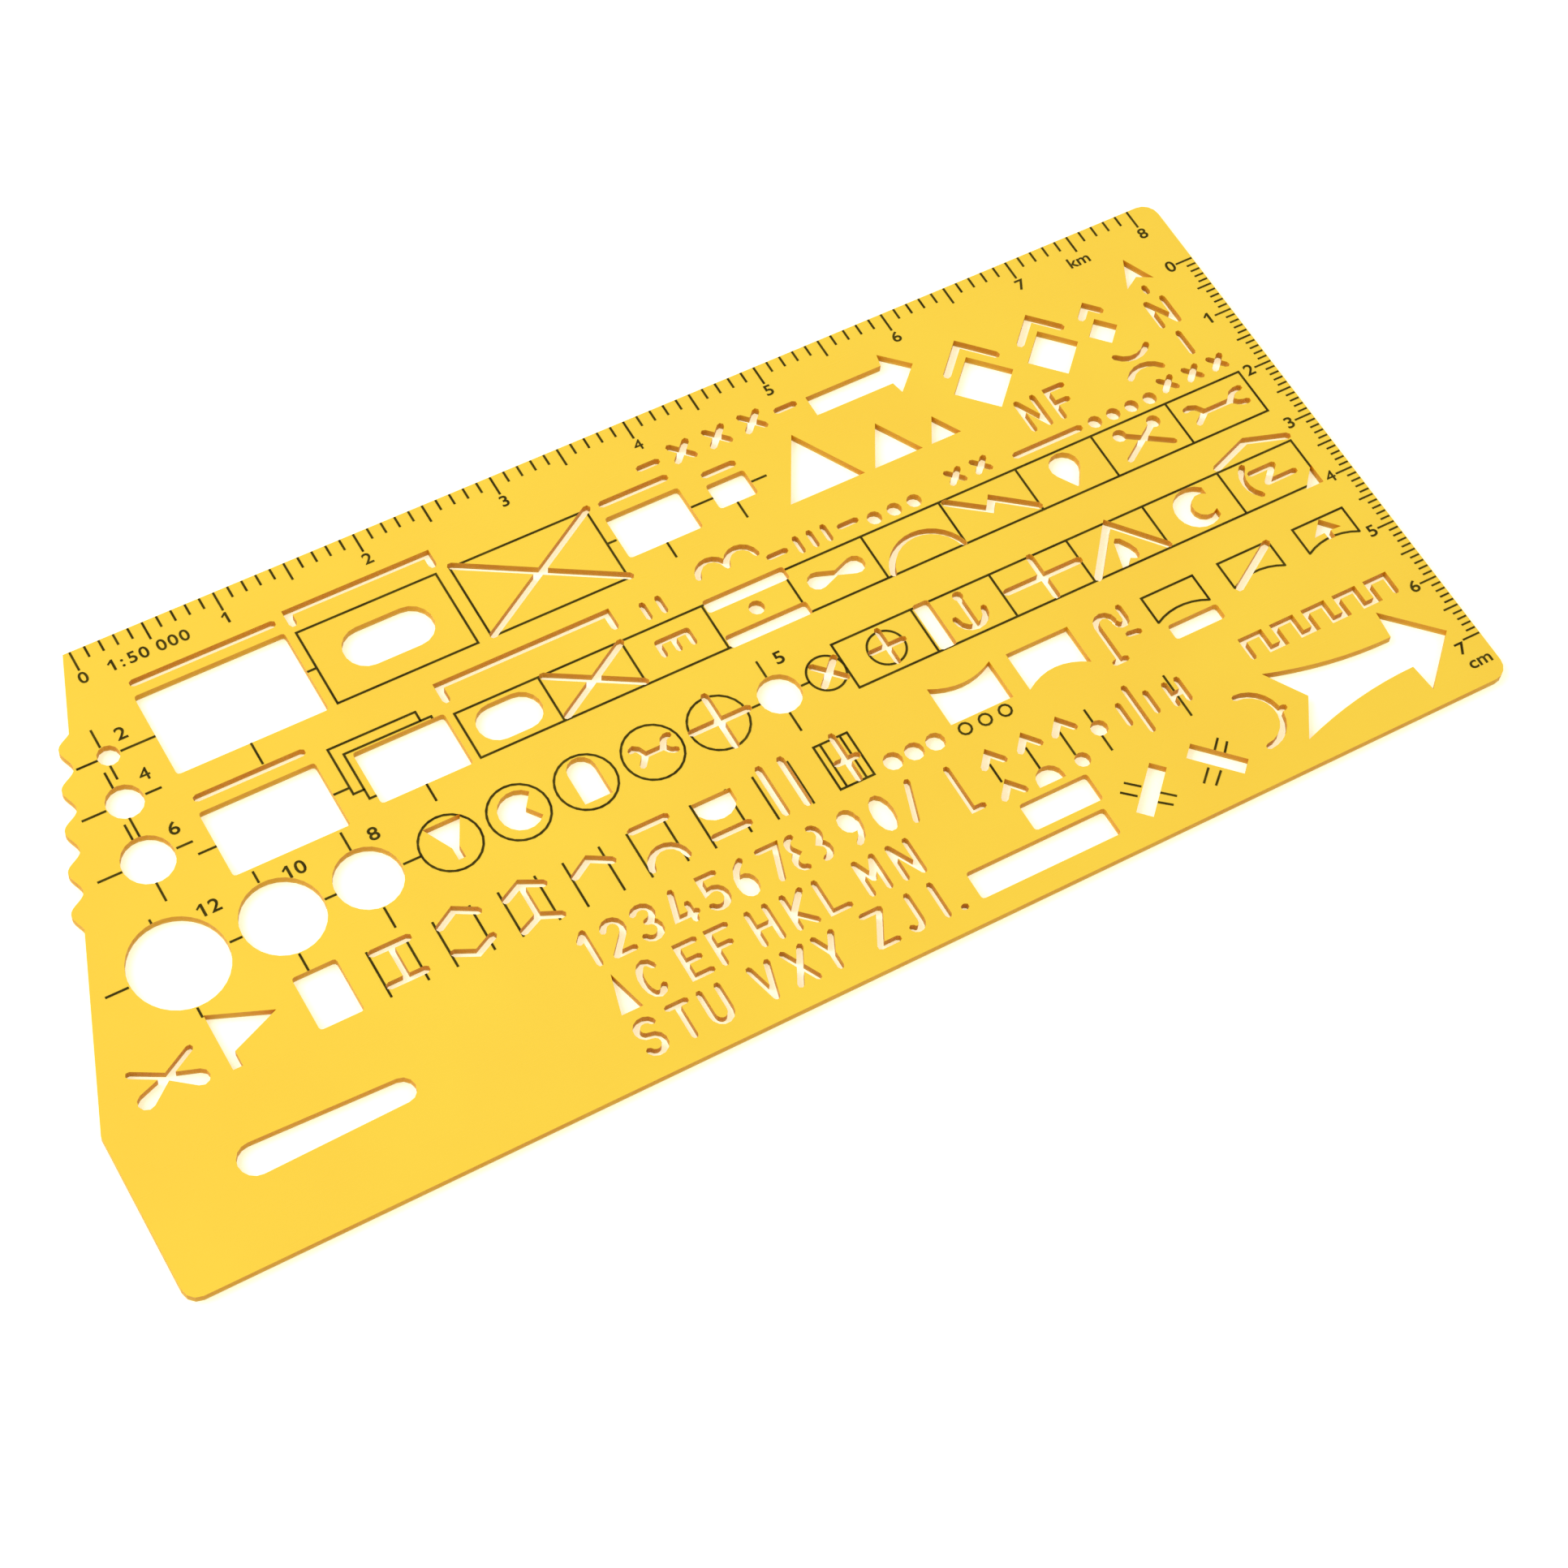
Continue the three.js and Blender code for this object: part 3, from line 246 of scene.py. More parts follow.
@dataclass(frozen=True)
class HandlingMarks:
    """The shader group of hairline scuffs and dull patches that handling leaves."""

    patch_detail: float = 4.0
    scuff_detail: float = 6.0
    scuff_roughness: float = 0.7
    scuff_stretch: float = 14.0
    scuff_turn: float = 24.0
    hairlines: Span = (0.55, 0.75)
    hairline_share: float = 0.45
    dulling: Span = (0.3, 1.0)

    def group(self) -> bpy.types.NodeTree:
        """Builds the group.

        Returns:
            The group's tree.
        """
        group = ShaderGroup(
            "handling_marks",
            takes={name: SocketKind.VALUE for name in ("Polished", "Dulled", "Scale")},
            gives={name: SocketKind.VALUE for name in ("Roughness", "Height")},
        )
        place = group.node("TexCoord")
        turn = (0.0, 0.0, math.radians(self.scuff_turn))
        stretch = group.node("Mapping", {"Scale": (1.0, self.scuff_stretch, 1.0), "Rotation": turn})
        patches = group.node("TexNoise", {"Detail": self.patch_detail})
        scuffs = group.node("TexNoise", {"Detail": self.scuff_detail, "Roughness": self.scuff_roughness})
        hairlines = group.map_range(self.hairlines)
        both = group.node("Math", {1: self.hairline_share}, operation="MULTIPLY_ADD")
        dull = group.map_range(self.dulling)
        group.join(place.outputs["Object"], patches.inputs["Vector"])
        group.join(place.outputs["Object"], stretch.inputs["Vector"])
        group.join(stretch.outputs["Vector"], scuffs.inputs["Vector"])
        group.join(group.inlet.outputs["Scale"], patches.inputs["Scale"])
        group.join(group.inlet.outputs["Scale"], scuffs.inputs["Scale"])
        group.join(scuffs.outputs["Fac"], hairlines.inputs["Value"])
        group.join(hairlines.outputs["Result"], both.inputs[0])
        group.join(patches.outputs["Fac"], both.inputs[2])
        group.join(both.outputs["Value"], dull.inputs["Value"])
        group.join(group.inlet.outputs["Polished"], dull.inputs["To Min"])
        group.join(group.inlet.outputs["Dulled"], dull.inputs["To Max"])
        group.join(dull.outputs["Result"], group.outlet.inputs["Roughness"])
        group.join(hairlines.outputs["Result"], group.outlet.inputs["Height"])
        return group.tree


@dataclass(frozen=True)
class Effects:
    """The shader groups that the finishes share."""

    clouds: bpy.types.NodeTree
    handling: bpy.types.NodeTree


class Finish(Wiring):
    """A material under construction: a Principled shader and what feeds it."""

    def __init__(self, name: str) -> None:
        """Starts a material with a Principled shader.

        Args:
            name: The material's name.
        """
        self.material = bpy.data.materials.new(name)
        self.material.use_nodes = True
        super().__init__(self.material.node_tree)
        self.shader = self.tree.nodes["Principled BSDF"]

    def group(self, tree: bpy.types.NodeTree, **values: float | Colour) -> bpy.types.Node:
        """Places a shader group in the material, with the given values on its inputs."""
        return self.node("Group", values, node_tree=tree)

    def feed(self, start: bpy.types.NodeSocket, name: str) -> None:
        """Joins a socket to the named input of the shader."""
        self.join(start, self.shader.inputs[name])

    def bump(self, height: bpy.types.NodeSocket, depth: float, strength: float) -> None:
        """Feeds the shader's normal from a height.

        Args:
            height: The socket that gives it.
            depth: How deep a height of one is, in millimetres.
            strength: The bump's strength.
        """
        bump = self.node("Bump", {"Distance": depth * MM, "Strength": strength})
        self.join(height, bump.inputs["Height"])
        self.feed(bump.outputs["Normal"], "Normal")


@dataclass(frozen=True)
class TintedPlastic:
    """Polished tinted plastic, painted on an opaque sheet: yellow on its faces, a painted orange on the cuts
    for light that runs through the plastic and out at a cut, and a painted pale glow towards a cut's foot.
    """

    face: Colour = (0.945, 0.648, 0.05, 1.0)
    face_warm: Colour = (0.935, 0.608, 0.048, 1.0)
    face_drift: float = 26.0
    # painted light: the orange of light run through the plastic's thickness to a cut, drifting between two
    # tones
    cut: Colour = (0.76, 0.33, 0.006, 1.0)
    cut_warm: Colour = (0.82, 0.41, 0.008, 1.0)
    cut_drift: float = 240.0
    # painted glow: the cream of light through the plastic from the floor on a cut's lower part, and the share
    # of the height it spans
    cut_foot_glow: Colour = (0.88, 0.55, 0.07, 1.0)
    cut_glow_span: Span = (0.0, 0.5)
    cut_roughness: float = 0.45
    rim: float = 0.01
    polished: float = 0.22
    dulled: float = 0.34
    scuff_scale: float = 55.0
    scuff_depth: float = 0.01
    scuff_strength: float = 0.25
    gloss: float = 0.22
    refraction: float = 1.49

    def cut_mask(self, finish: Finish, height: bpy.types.NodeSocket, faces: Span) -> bpy.types.NodeSocket:
        """Tells the cuts from the two faces by their height.

        Args:
            finish: The material.
            height: The socket that gives the height.
            faces: The heights of the lower and the upper face.

        Returns:
            A socket that is 1 on a cut and 0 on a face.
        """
        low, high = faces
        from_middle = finish.node("Math", {1: (low + high) / 2}, operation="SUBTRACT")
        distance = finish.node("Math", operation="ABSOLUTE")
        is_cut = finish.node("Math", {1: (high - low) / 2 - self.rim * MM}, operation="LESS_THAN")
        finish.join(height, from_middle.inputs[0])
        finish.join(from_middle.outputs["Value"], distance.inputs[0])
        finish.join(distance.outputs["Value"], is_cut.inputs[0])
        return is_cut.outputs["Value"]

    def cut_colour(
        self, finish: Finish, effects: Effects, height: bpy.types.NodeSocket, faces: Span
    ) -> bpy.types.NodeSocket:
        """Mixes the colour of a cut: the painted orange of light through the plastic, going over to a painted
        pale glow towards its foot.

        Args:
            finish: The material.
            effects: The shared shader groups.
            height: The socket that gives the height.
            faces: The heights of the lower and the upper face.

        Returns:
            The socket that gives the colour.
        """
        low, high = faces
        foot, head = (low + share * (high - low) for share in self.cut_glow_span)
        # the cut goes over to the painted pale glow towards its foot
        foot_glow = finish.map_range((foot, head), interpolation_type="SMOOTHSTEP")
        deep = finish.group(effects.clouds, First=self.cut, Second=self.cut_warm, Scale=self.cut_drift)
        mix = finish.node("Mix", {"A": self.cut_foot_glow}, data_type="RGBA")
        finish.join(height, foot_glow.inputs["Value"])
        finish.join(foot_glow.outputs["Result"], mix.inputs["Factor"])
        finish.join(deep.outputs["Colour"], mix.inputs["B"])
        return mix.outputs["Result"]

    def material(self, effects: Effects) -> bpy.types.Material:
        """Builds the finish for the sheet, whose faces lie at two known heights.

        Args:
            effects: The shared shader groups.

        Returns:
            The material.
        """
        finish = Finish("tinted_plastic")
        low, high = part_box(SHEET_NODE)
        place = finish.node("TexCoord")
        parts = finish.node("SeparateXYZ")
        finish.join(place.outputs["Object"], parts.inputs["Vector"])
        is_cut = self.cut_mask(finish, parts.outputs["Z"], (low.z, high.z))
        cut = self.cut_colour(finish, effects, parts.outputs["Z"], (low.z, high.z))
        face = finish.group(effects.clouds, First=self.face, Second=self.face_warm, Scale=self.face_drift)
        colour = finish.node("Mix", data_type="RGBA")
        finish.join(is_cut, colour.inputs["Factor"])
        finish.join(face.outputs["Colour"], colour.inputs["A"])
        finish.join(cut, colour.inputs["B"])
        finish.feed(colour.outputs["Result"], "Base Color")
        marks = finish.group(
            effects.handling, Polished=self.polished, Dulled=self.dulled, Scale=self.scuff_scale
        )
        roughness = finish.node("Mix", {"B": self.cut_roughness})
        finish.join(is_cut, roughness.inputs["Factor"])
        finish.join(marks.outputs["Roughness"], roughness.inputs["A"])
        finish.feed(roughness.outputs["Result"], "Roughness")
        finish.bump(marks.outputs["Height"], self.scuff_depth, self.scuff_strength)
        finish.shader.inputs["IOR"].default_value = self.refraction
        finish.shader.inputs["Specular IOR Level"].default_value = self.gloss
        return finish.material


@dataclass(frozen=True)
class PrintInk:
    """Screen-printed black ink, a little thin in places."""

    full: Colour = (0.032, 0.023, 0.002, 1.0)
    thin: Colour = (0.08, 0.058, 0.004, 1.0)
    tone_drift: float = 420.0
    polished: float = 0.5
    dulled: float = 0.7
    scuff_scale: float = 300.0
    scuff_depth: float = 0.01
    scuff_strength: float = 0.2
    gloss: float = 0.05

    def material(self, effects: Effects) -> bpy.types.Material:
        """Builds the finish for the print.

        Args:
            effects: The shared shader groups.

        Returns:
            The material.
        """
        finish = Finish("print_ink")
        tone = finish.group(effects.clouds, First=self.full, Second=self.thin, Scale=self.tone_drift)
        marks = finish.group(
            effects.handling, Polished=self.polished, Dulled=self.dulled, Scale=self.scuff_scale
        )
        finish.feed(tone.outputs["Colour"], "Base Color")
        finish.feed(marks.outputs["Roughness"], "Roughness")
        finish.bump(marks.outputs["Height"], self.scuff_depth, self.scuff_strength)
        finish.shader.inputs["Specular IOR Level"].default_value = self.gloss
        return finish.material


# Printed pieces


class Stencil:
    """The sheet as a cutter, in the face's millimetres, that trims print where the sheet is open."""

    def __init__(self) -> None:
        """Makes a merged copy of the sheet, raised so that the print lies inside it."""
        low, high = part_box(SHEET_NODE)
        self.origin = Vector((high.x - ZERO_TO_RIGHT_EDGE * MM, high.y, high.z))
        shape = bmesh.new()
        shape.from_mesh(frame["nodes"][SHEET_NODE].data)
        bmesh.ops.translate(shape, verts=shape.verts, vec=-self.origin)
        bmesh.ops.scale(shape, verts=shape.verts, vec=(1 / MM,) * 3)
        bmesh.ops.remove_doubles(shape, verts=shape.verts, dist=MERGE_DISTANCE)
        bmesh.ops.translate(shape, verts=shape.verts, vec=(0.0, 0.0, (high.z - low.z) / MM / 2))
        self.cutter = add_object("stencil", to_mesh(shape, "stencil"))

    def trim(self, mesh: bpy.types.Mesh) -> bpy.types.Mesh:
        """Keeps what of a printed mesh lies on the sheet.

        Args:
            mesh: The print, in the face's millimetres, which is removed.

        Returns:
            The trimmed mesh, in the frame's metres.
        """
        piece = add_object("untrimmed", mesh)
        cut = piece.modifiers.new("cut_outs", "BOOLEAN")
        cut.operation = "INTERSECT"
        cut.solver = "EXACT"
        cut.use_self = True
        cut.object = self.cutter
        trimmed = evaluated_mesh(piece)
        bpy.data.objects.remove(piece)
        bpy.data.meshes.remove(mesh)
        trimmed.transform(Matrix.Translation(self.origin) @ Matrix.Scale(MM, 4))
        return trimmed

    def discard(self) -> None:
        """Removes the cutter when all print is trimmed."""
        mesh = self.cutter.data
        bpy.data.objects.remove(self.cutter)
        bpy.data.meshes.remove(mesh)


class PrintLayer:
    """A printed figure that grows mark by mark and then becomes one piece on the sheet."""

    RING_STEPS = 56
    CAPITAL_HEIGHT = 0.73
    CURVE_STEPS = 4
    FIGURE_BREADTH = 1.16
    FIGURE_WEIGHT = 0.025
    FLAGGED_FIGURE = "1"
    FLAG_REACH = 0.26
    FLAG_WIDTH = 0.24
    SHARP_FIGURE = "4"

    def __init__(self, name: str) -> None:
        """Starts an empty layer.

        Args:
            name: The piece's name.
        """
        self.name = name
        self.marks = bmesh.new()

    def line(self, start: Point, end: Point, width: float = INK_LINE) -> None:
        """Prints a straight line with square ends.

        Args:
            start: One end of its centre line.
            end: The other end.
            width: Its width.
        """
        run, rise = end[0] - start[0], end[1] - start[1]
        middle = Vector(((start[0] + end[0]) / 2, (start[1] + end[1]) / 2, INK_HEIGHT / 2))
        turn = Matrix.Rotation(math.atan2(rise, run), 4, "Z")
        size = Matrix.Diagonal((math.hypot(run, rise), width, INK_HEIGHT, 1.0))
        bmesh.ops.create_cube(self.marks, size=1.0, matrix=Matrix.Translation(middle) @ turn @ size)

    def stroke(self, axis: Axis, at: float, span: Span, width: float = INK_LINE) -> None:
        """Prints a line along one of the face's axes.

        Args:
            axis: Which way it runs.
            at: Its place on the other axis.
            span: Where it starts and ends.
            width: Its width.
        """
        ends = [(value, at) if axis is Axis.ACROSS else (at, value) for value in span]
        self.line(ends[0], ends[1], width)

    def frame(self, low: Point, high: Point) -> None:
        """Prints a rectangle.

        Args:
            low: The lower left corner of its centre line.
            high: The upper right corner.
        """
        for y in (low[1], high[1]):
            self.stroke(Axis.ACROSS, y, (low[0] - INK_LINE / 2, high[0] + INK_LINE / 2))
        for x in (low[0], high[0]):
            self.stroke(Axis.UP, x, (low[1], high[1]))

    def ring(self, centre: Point, radius: float) -> None:
        """Prints a ring by spinning the section of a line.

        Args:
            centre: The ring's centre.
            radius: The radius of its centre line.
        """
        half = INK_LINE / 2
        corners = [(-half, 0.0), (half, 0.0), (half, INK_HEIGHT), (-half, INK_HEIGHT)]
        section = [self.marks.verts.new((centre[0] + radius + x, centre[1], z)) for x, z in corners]
        edges = [self.marks.edges.new((section[i - 1], section[i])) for i in range(len(section))]
        bmesh.ops.spin(
            self.marks,
            geom=section + edges,
            cent=(*centre, 0.0),
            axis=(0.0, 0.0, 1.0),
            angle=math.tau,
            steps=self.RING_STEPS,
            use_merge=True,
        )
        bmesh.ops.recalc_face_normals(self.marks, faces=self.marks.faces)

    def written(self, words: str, height: float, spacing: float) -> bpy.types.Mesh:
        """Writes figures as a mesh, wherever the text starts.

        Args:
            words: What it says.
            height: The height of a figure.
            spacing: The share of the usual space between figures.

        Returns:
            The mesh.
        """
        curve = bpy.data.curves.new("figures", "FONT")
        curve.body = words
        curve.size = height / self.CAPITAL_HEIGHT
        curve.space_character = spacing
        # The counter of a four ends in a point too sharp to thicken round.
        curve.offset = 0.0 if self.SHARP_FIGURE in words else self.FIGURE_WEIGHT
        curve.extrude = INK_HEIGHT / 2
        curve.resolution_u = self.CURVE_STEPS
        writer = add_object("figures", curve)
        mesh = evaluated_mesh(writer)
        bpy.data.objects.remove(writer)
        bpy.data.curves.remove(curve)
        return mesh

    def text(self, words: str, centre: Point, height: float, spacing: float = 1.0) -> None:
        """Prints figures about a centre.

        Args:
            words: What it says.
            centre: The middle of the words.
            height: The height of a figure.
            spacing: The share of the usual space between figures.
        """
        mesh = self.written(words, height, spacing)
        low, high = mesh_box(mesh)
        shift = Matrix.Translation((-(low.x + high.x) / 2, -(low.y + high.y) / 2, INK_HEIGHT / 2))
        broad = Matrix.Scale(self.FIGURE_BREADTH, 4, (1.0, 0.0, 0.0))
        mesh.transform(Matrix.Translation((*centre, 0.0)) @ broad @ shift)
        low, high = mesh_box(mesh)
        before = len(self.marks.verts)
        self.marks.from_mesh(mesh)
        bpy.data.meshes.remove(mesh)
        self.marks.verts.ensure_lookup_table()
        bmesh.ops.remove_doubles(self.marks, verts=self.marks.verts[before:], dist=MERGE_DISTANCE)
        if words.startswith(self.FLAGGED_FIGURE):
            self.flag((low.x, high.y), height)

    def flag(self, corner: Point, height: float) -> None:
        """Prints the short slanted stroke at the head of a figure one.

        Args:
            corner: The upper left corner of the figure's stem.
            height: The figure's height.
        """
        reach = self.FLAG_REACH * height
        start = (corner[0] + self.FLAG_WIDTH / 2, corner[1] - self.FLAG_WIDTH / 2)
        self.line(start, (corner[0] - reach, corner[1] - reach - self.FLAG_WIDTH / 2), self.FLAG_WIDTH)

    def finish(self, stencil: Stencil, ink: bpy.types.Material) -> bpy.types.Object:
        """Turns the layer into a piece that rides on the sheet.

        Args:
            stencil: The cutter that trims it.
            ink: Its material.

        Returns:
            The piece.
        """
        piece = add_object(self.name, stencil.trim(to_mesh(self.marks, self.name)))
        piece.data.name = self.name
        piece.data.materials.clear()
        piece.data.materials.append(ink)
        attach(piece, BODY)
        LOG.info("%s: %d faces", piece.name, len(piece.data.polygons))
        return piece


class PrintedFigure(ABC):
    """Marks that belong together and become one or two printed pieces."""

    @abstractmethod
    def draw(self) -> list[PrintLayer]:
        """Draws the marks.

        Returns:
            The layers, one for each piece.
        """

    def build(self, stencil: Stencil, ink: bpy.types.Material) -> list[bpy.types.Object]:
        """Draws the marks and turns them into pieces of the given ink, trimmed by the stencil."""
        return [layer.finish(stencil, ink) for layer in self.draw()]


@dataclass
class Scale(PrintedFigure):
    """Ticks at an even step, longer at the fives and longest at the tens, which are numbered."""

    step: float
    ticks: int
    short: float
    middle: float
    numbered: float
    edge_gap: float
    number_height: float
    fives: int = 5
    tens: int = 10

    def is_numbered(self, index: int) -> bool:
        """Tells whether a tick has a figure."""
        return index % self.tens == 0

    def length(self, index: int) -> float:
        """Gives the length of a tick.

        Args:
            index: Its count from the zero line.

        Returns:
            Its length.
        """
        if self.is_numbered(index):
            return self.numbered
        return self.middle if index % self.fives == 0 else self.short


@dataclass
class LongScale(Scale):
    """The map scale along the top edge, with its ratio and its unit."""

    step: float = 2.0
    ticks: int = 80
    short: float = 1.8
    middle: float = 2.9
    numbered: float = 3.1
    edge_gap: float = 0.05
    number_height: float = 1.75
    number_row: float = -4.3
    ratio: tuple[tuple[str, float], ...] = (("1:", 4.75), ("50", 7.6), ("000", 12.4))
    ratio_spacing: float = 1.15
    unit_centre: float = 149.4

    def draw(self) -> list[PrintLayer]:
        """Draws the ticks, the figures, the ratio and the unit.

        Returns:
            The ticks and the figures.
        """
        ticks, figures = PrintLayer("long_scale_ticks"), PrintLayer("long_scale_figures")
        for index in range(self.ticks + 1):
            x = index * self.step
            ticks.stroke(Axis.UP, x, (-self.edge_gap, -self.length(index)))
            if self.is_numbered(index):
                figures.text(str(index // self.tens), (x, self.number_row), self.number_height)
        for words, centre in self.ratio:
            figures.text(words, (centre, self.number_row), self.number_height, self.ratio_spacing)
        figures.text("km", (self.unit_centre, self.number_row), self.number_height)
        return [ticks, figures]


@dataclass
class ShortScale(Scale):
    """The centimetre scale down the right edge, with its unit."""

    step: float = 1.0
    ticks: int = 70
    short: float = 1.4
    middle: float = 2.2
    numbered: float = 2.6
    edge_gap: float = 0.1
    number_height: float = 1.85
    zero: float = -11.05
    tick_width: float = 0.26
    number_column: float = 160.3
    last_drop: float = 1.0
    unit_centre: Point = (161.4, -84.85)

    def draw(self) -> list[PrintLayer]:
        """Draws the ticks, the figures and the unit.

        Returns:
            The ticks and the figures.
        """
        ticks, figures = PrintLayer("short_scale_ticks"), PrintLayer("short_scale_figures")
        edge = ZERO_TO_RIGHT_EDGE - self.edge_gap
        for index in range(self.ticks + 1):
            y = self.zero - index * self.step
            ticks.stroke(Axis.ACROSS, y, (edge - self.length(index), edge), self.tick_width)
            if self.is_numbered(index):
                drop = self.last_drop if index == self.ticks else 0.0
                place = (self.number_column, y - drop)
                figures.text(str(index // self.tens), place, self.number_height)
        figures.text("cm", self.unit_centre, self.number_height)
        return [ticks, figures]


@dataclass
class Crosshair:
    """The centre lines round one circle, and the figure of its size."""

    size: str
    centre: Point
    label: Point
    up: Span
    down: Span
    right: Span
    left: Span | None = None

    def draw(self, lines: PrintLayer, figures: PrintLayer, height: float) -> None:
        """Draws the lines and the figure.

        Args:
            lines: The layer of lines.
            figures: The layer of figures.
            height: A figure's height.
        """
        for span in (self.up, self.down):
            lines.stroke(Axis.UP, self.centre[0], span)
        for span in (self.left, self.right):
            if span:
                lines.stroke(Axis.ACROSS, self.centre[1], span)
        figures.text(self.size, self.label, height)


@dataclass
class CircleMarks(PrintedFigure):
    """The centre lines and sizes of all the round holes."""

    figure_height: float = 1.95
    circles: list[Crosshair] = field(
        default_factory=lambda: [
            Crosshair(
                "2", centre=(-2.45, -16.4), label=(0.7, -14.0),
                up=(-11.9, -14.8), down=(-17.8, -20.0), right=(-0.4, 4.4), left=(-6.4, -3.5),
            ),
            Crosshair(
                "4", centre=(-3.5, -23.55), label=(0.8, -20.8),
                up=(-18.4, -21.0), down=(-25.7, -29.0), right=(-0.3, 1.9), left=(-8.9, -5.6),
            ),
            Crosshair(
                "6", centre=(-4.45, -32.4), label=(0.7, -29.6),
                up=(-26.4, -29.0), down=(-35.6, -38.6), right=(-0.2, 2.0), left=(-10.8, -7.5),
            ),
            Crosshair(
                "12", centre=(-7.4, -47.4), label=(0.0, -41.8),
                up=(-40.0, -40.7), down=(-53.7, -55.2), right=(-0.1, 1.6), left=(-16.6, -13.5),
            ),
            Crosshair(
                "10", centre=(6.65, -47.35), label=(11.6, -41.8),
                up=(-39.7, -41.5), down=(-52.7, -55.8), right=(12.75, 14.4),
            ),
            Crosshair(
                "8", centre=(18.65, -47.35), label=(22.2, -41.7),
                up=(-39.7, -42.6), down=(-51.7, -54.9), right=(23.5, 26.0),
            ),
            Crosshair(
                "5", centre=(77.1, -47.3), label=(80.0, -42.2),
                up=(-41.4, -44.1), down=(-50.1, -53.2), right=(80.4, 81.7), left=(72.4, 74.4),
            ),
        ]
    )

    def draw(self) -> list[PrintLayer]:
        """Draws every circle's lines and figure.

        Returns:
            The lines and the figures.
        """
        lines, figures = PrintLayer("circle_centre_lines"), PrintLayer("circle_size_figures")
        for circle in self.circles:
            circle.draw(lines, figures, self.figure_height)
        return [lines, figures]


@dataclass
class FrameLinks(PrintedFigure):
    """The short lines that join the open frames of the first two rows."""

    level: list[tuple[float, Span]] = field(
        default_factory=lambda: [
            (-16.4, (81.3, 84.7)),
            (-16.4, (90.5, 92.8)),
            (-34.4, (1.8, 4.3)),
            (-34.4, (20.3, 22.5)),
        ]
    )
    upright: list[tuple[float, Span]] = field(
        default_factory=lambda: [
            (75.85, (-19.8, -22.5)),
            (87.25, (-18.3, -21.2)),
            (14.5, (-22.7, -26.3)),
            (31.3, (-38.2, -41.1)),
        ]
    )

    def draw(self) -> list[PrintLayer]:
        """Draws the links.

        Returns:
            The one layer.
        """
        links = PrintLayer("frame_links")
        for y, span in self.level:
            links.stroke(Axis.ACROSS, y, span)
        for x, span in self.upright:
            links.stroke(Axis.UP, x, span)
        return [links]


@dataclass
class BridgeLines(PrintedFigure):
    """The pairs of bank lines of the bridge symbols, and the boxed one after them."""

    first: float = 16.45
    pitch: float = 9.03
    count: int = 7
    half_width: float = 2.54
    span: Span = (-56.3, -63.3)
    box_low: Point = (77.15, -63.1)
    box_high: Point = (82.1, -56.1)
    box_posts: tuple[float, float] = (78.1, 81.0)

    def draw(self) -> list[PrintLayer]:
        """Draws the lines and the box.

        Returns:
            The bank lines and the boxed symbol.
        """
        banks, boxed = PrintLayer("bridge_bank_lines"), PrintLayer("boxed_bridge_lines")
        for index in range(self.count):
            for side in (-1, 1):
                x = self.first + index * self.pitch + side * self.half_width
                banks.stroke(Axis.UP, x, self.span)
        boxed.frame(self.box_low, self.box_high)
        for x in self.box_posts:
            boxed.stroke(Axis.UP, x, (self.box_low[1], self.box_high[1]))
        return [banks, boxed]


@dataclass
class SmallRings(PrintedFigure):
    """The two small printed rings in and beside the lower strip."""

    rings: list[tuple[Point, float]] = field(
        default_factory=lambda: [((84.3, -47.1), 2.65), ((93.2, -47.3), 2.6)]
    )

    def draw(self) -> list[PrintLayer]:
        """Draws the rings.

        Returns:
            The one layer.
        """
        layer = PrintLayer("small_rings")
        for centre, radius in self.rings:
            layer.ring(centre, radius)
        return [layer]


@dataclass
class ArrowShafts(PrintedFigure):
    """The printed shafts of the small arrows and the ticks across the slanted bars."""

    shafts: list[tuple[float, Span]] = field(
        default_factory=lambda: [
            (95.9, (-68.6, -71.6)),
            (101.3, (-68.6, -72.4)),
            (106.4, (-68.6, -72.5)),
            (111.0, (-67.2, -69.4)),
            (111.0, (-71.6, -74.1)),
            (122.95, (-67.5, -74.4)),
        ]
    )
    bar_ticks: list[tuple[Point, Point]] = field(
        default_factory=lambda: [
            ((109.7, -78.9), (111.4, -80.4)),
            ((108.5, -79.9), (110.2, -81.4)),
            ((113.0, -82.2), (114.7, -83.7)),
            ((112.0, -83.3), (113.6, -84.6)),
            ((122.6, -80.3), (124.1, -78.8)),
            ((123.5, -81.3), (124.9, -79.8)),
            ((120.6, -82.0), (118.8, -83.7)),
            ((121.8, -83.1), (120.0, -84.7)),
        ]
    )

    def draw(self) -> list[PrintLayer]:
        """Draws the shafts and the ticks.

        Returns:
            The shafts and the ticks.
        """
        shafts, ticks = PrintLayer("arrow_shafts"), PrintLayer("slanted_bar_ticks")
        for x, span in self.shafts:
            shafts.stroke(Axis.UP, x, span)
        for start, end in self.bar_ticks:
            ticks.line(start, end)
        return [shafts, ticks]


# The sheet and the studio


@dataclass
class Sheet:
    """The cut sheet and the large printed figures on it, which are the CAD nodes."""

    finishes: dict[Slot, bpy.types.Material]

    def dress(self) -> None:
        """Gives every node the finish of its slot in the record."""
        for part in frame["record"]["subparts"]:
            material = self.finishes[Slot(part["material_slot"])]
            for slot in frame["nodes"][part["node"]].material_slots:
                slot.link = "OBJECT"
                slot.material = material
            LOG.info("%s: %s", part["node"], material.name)


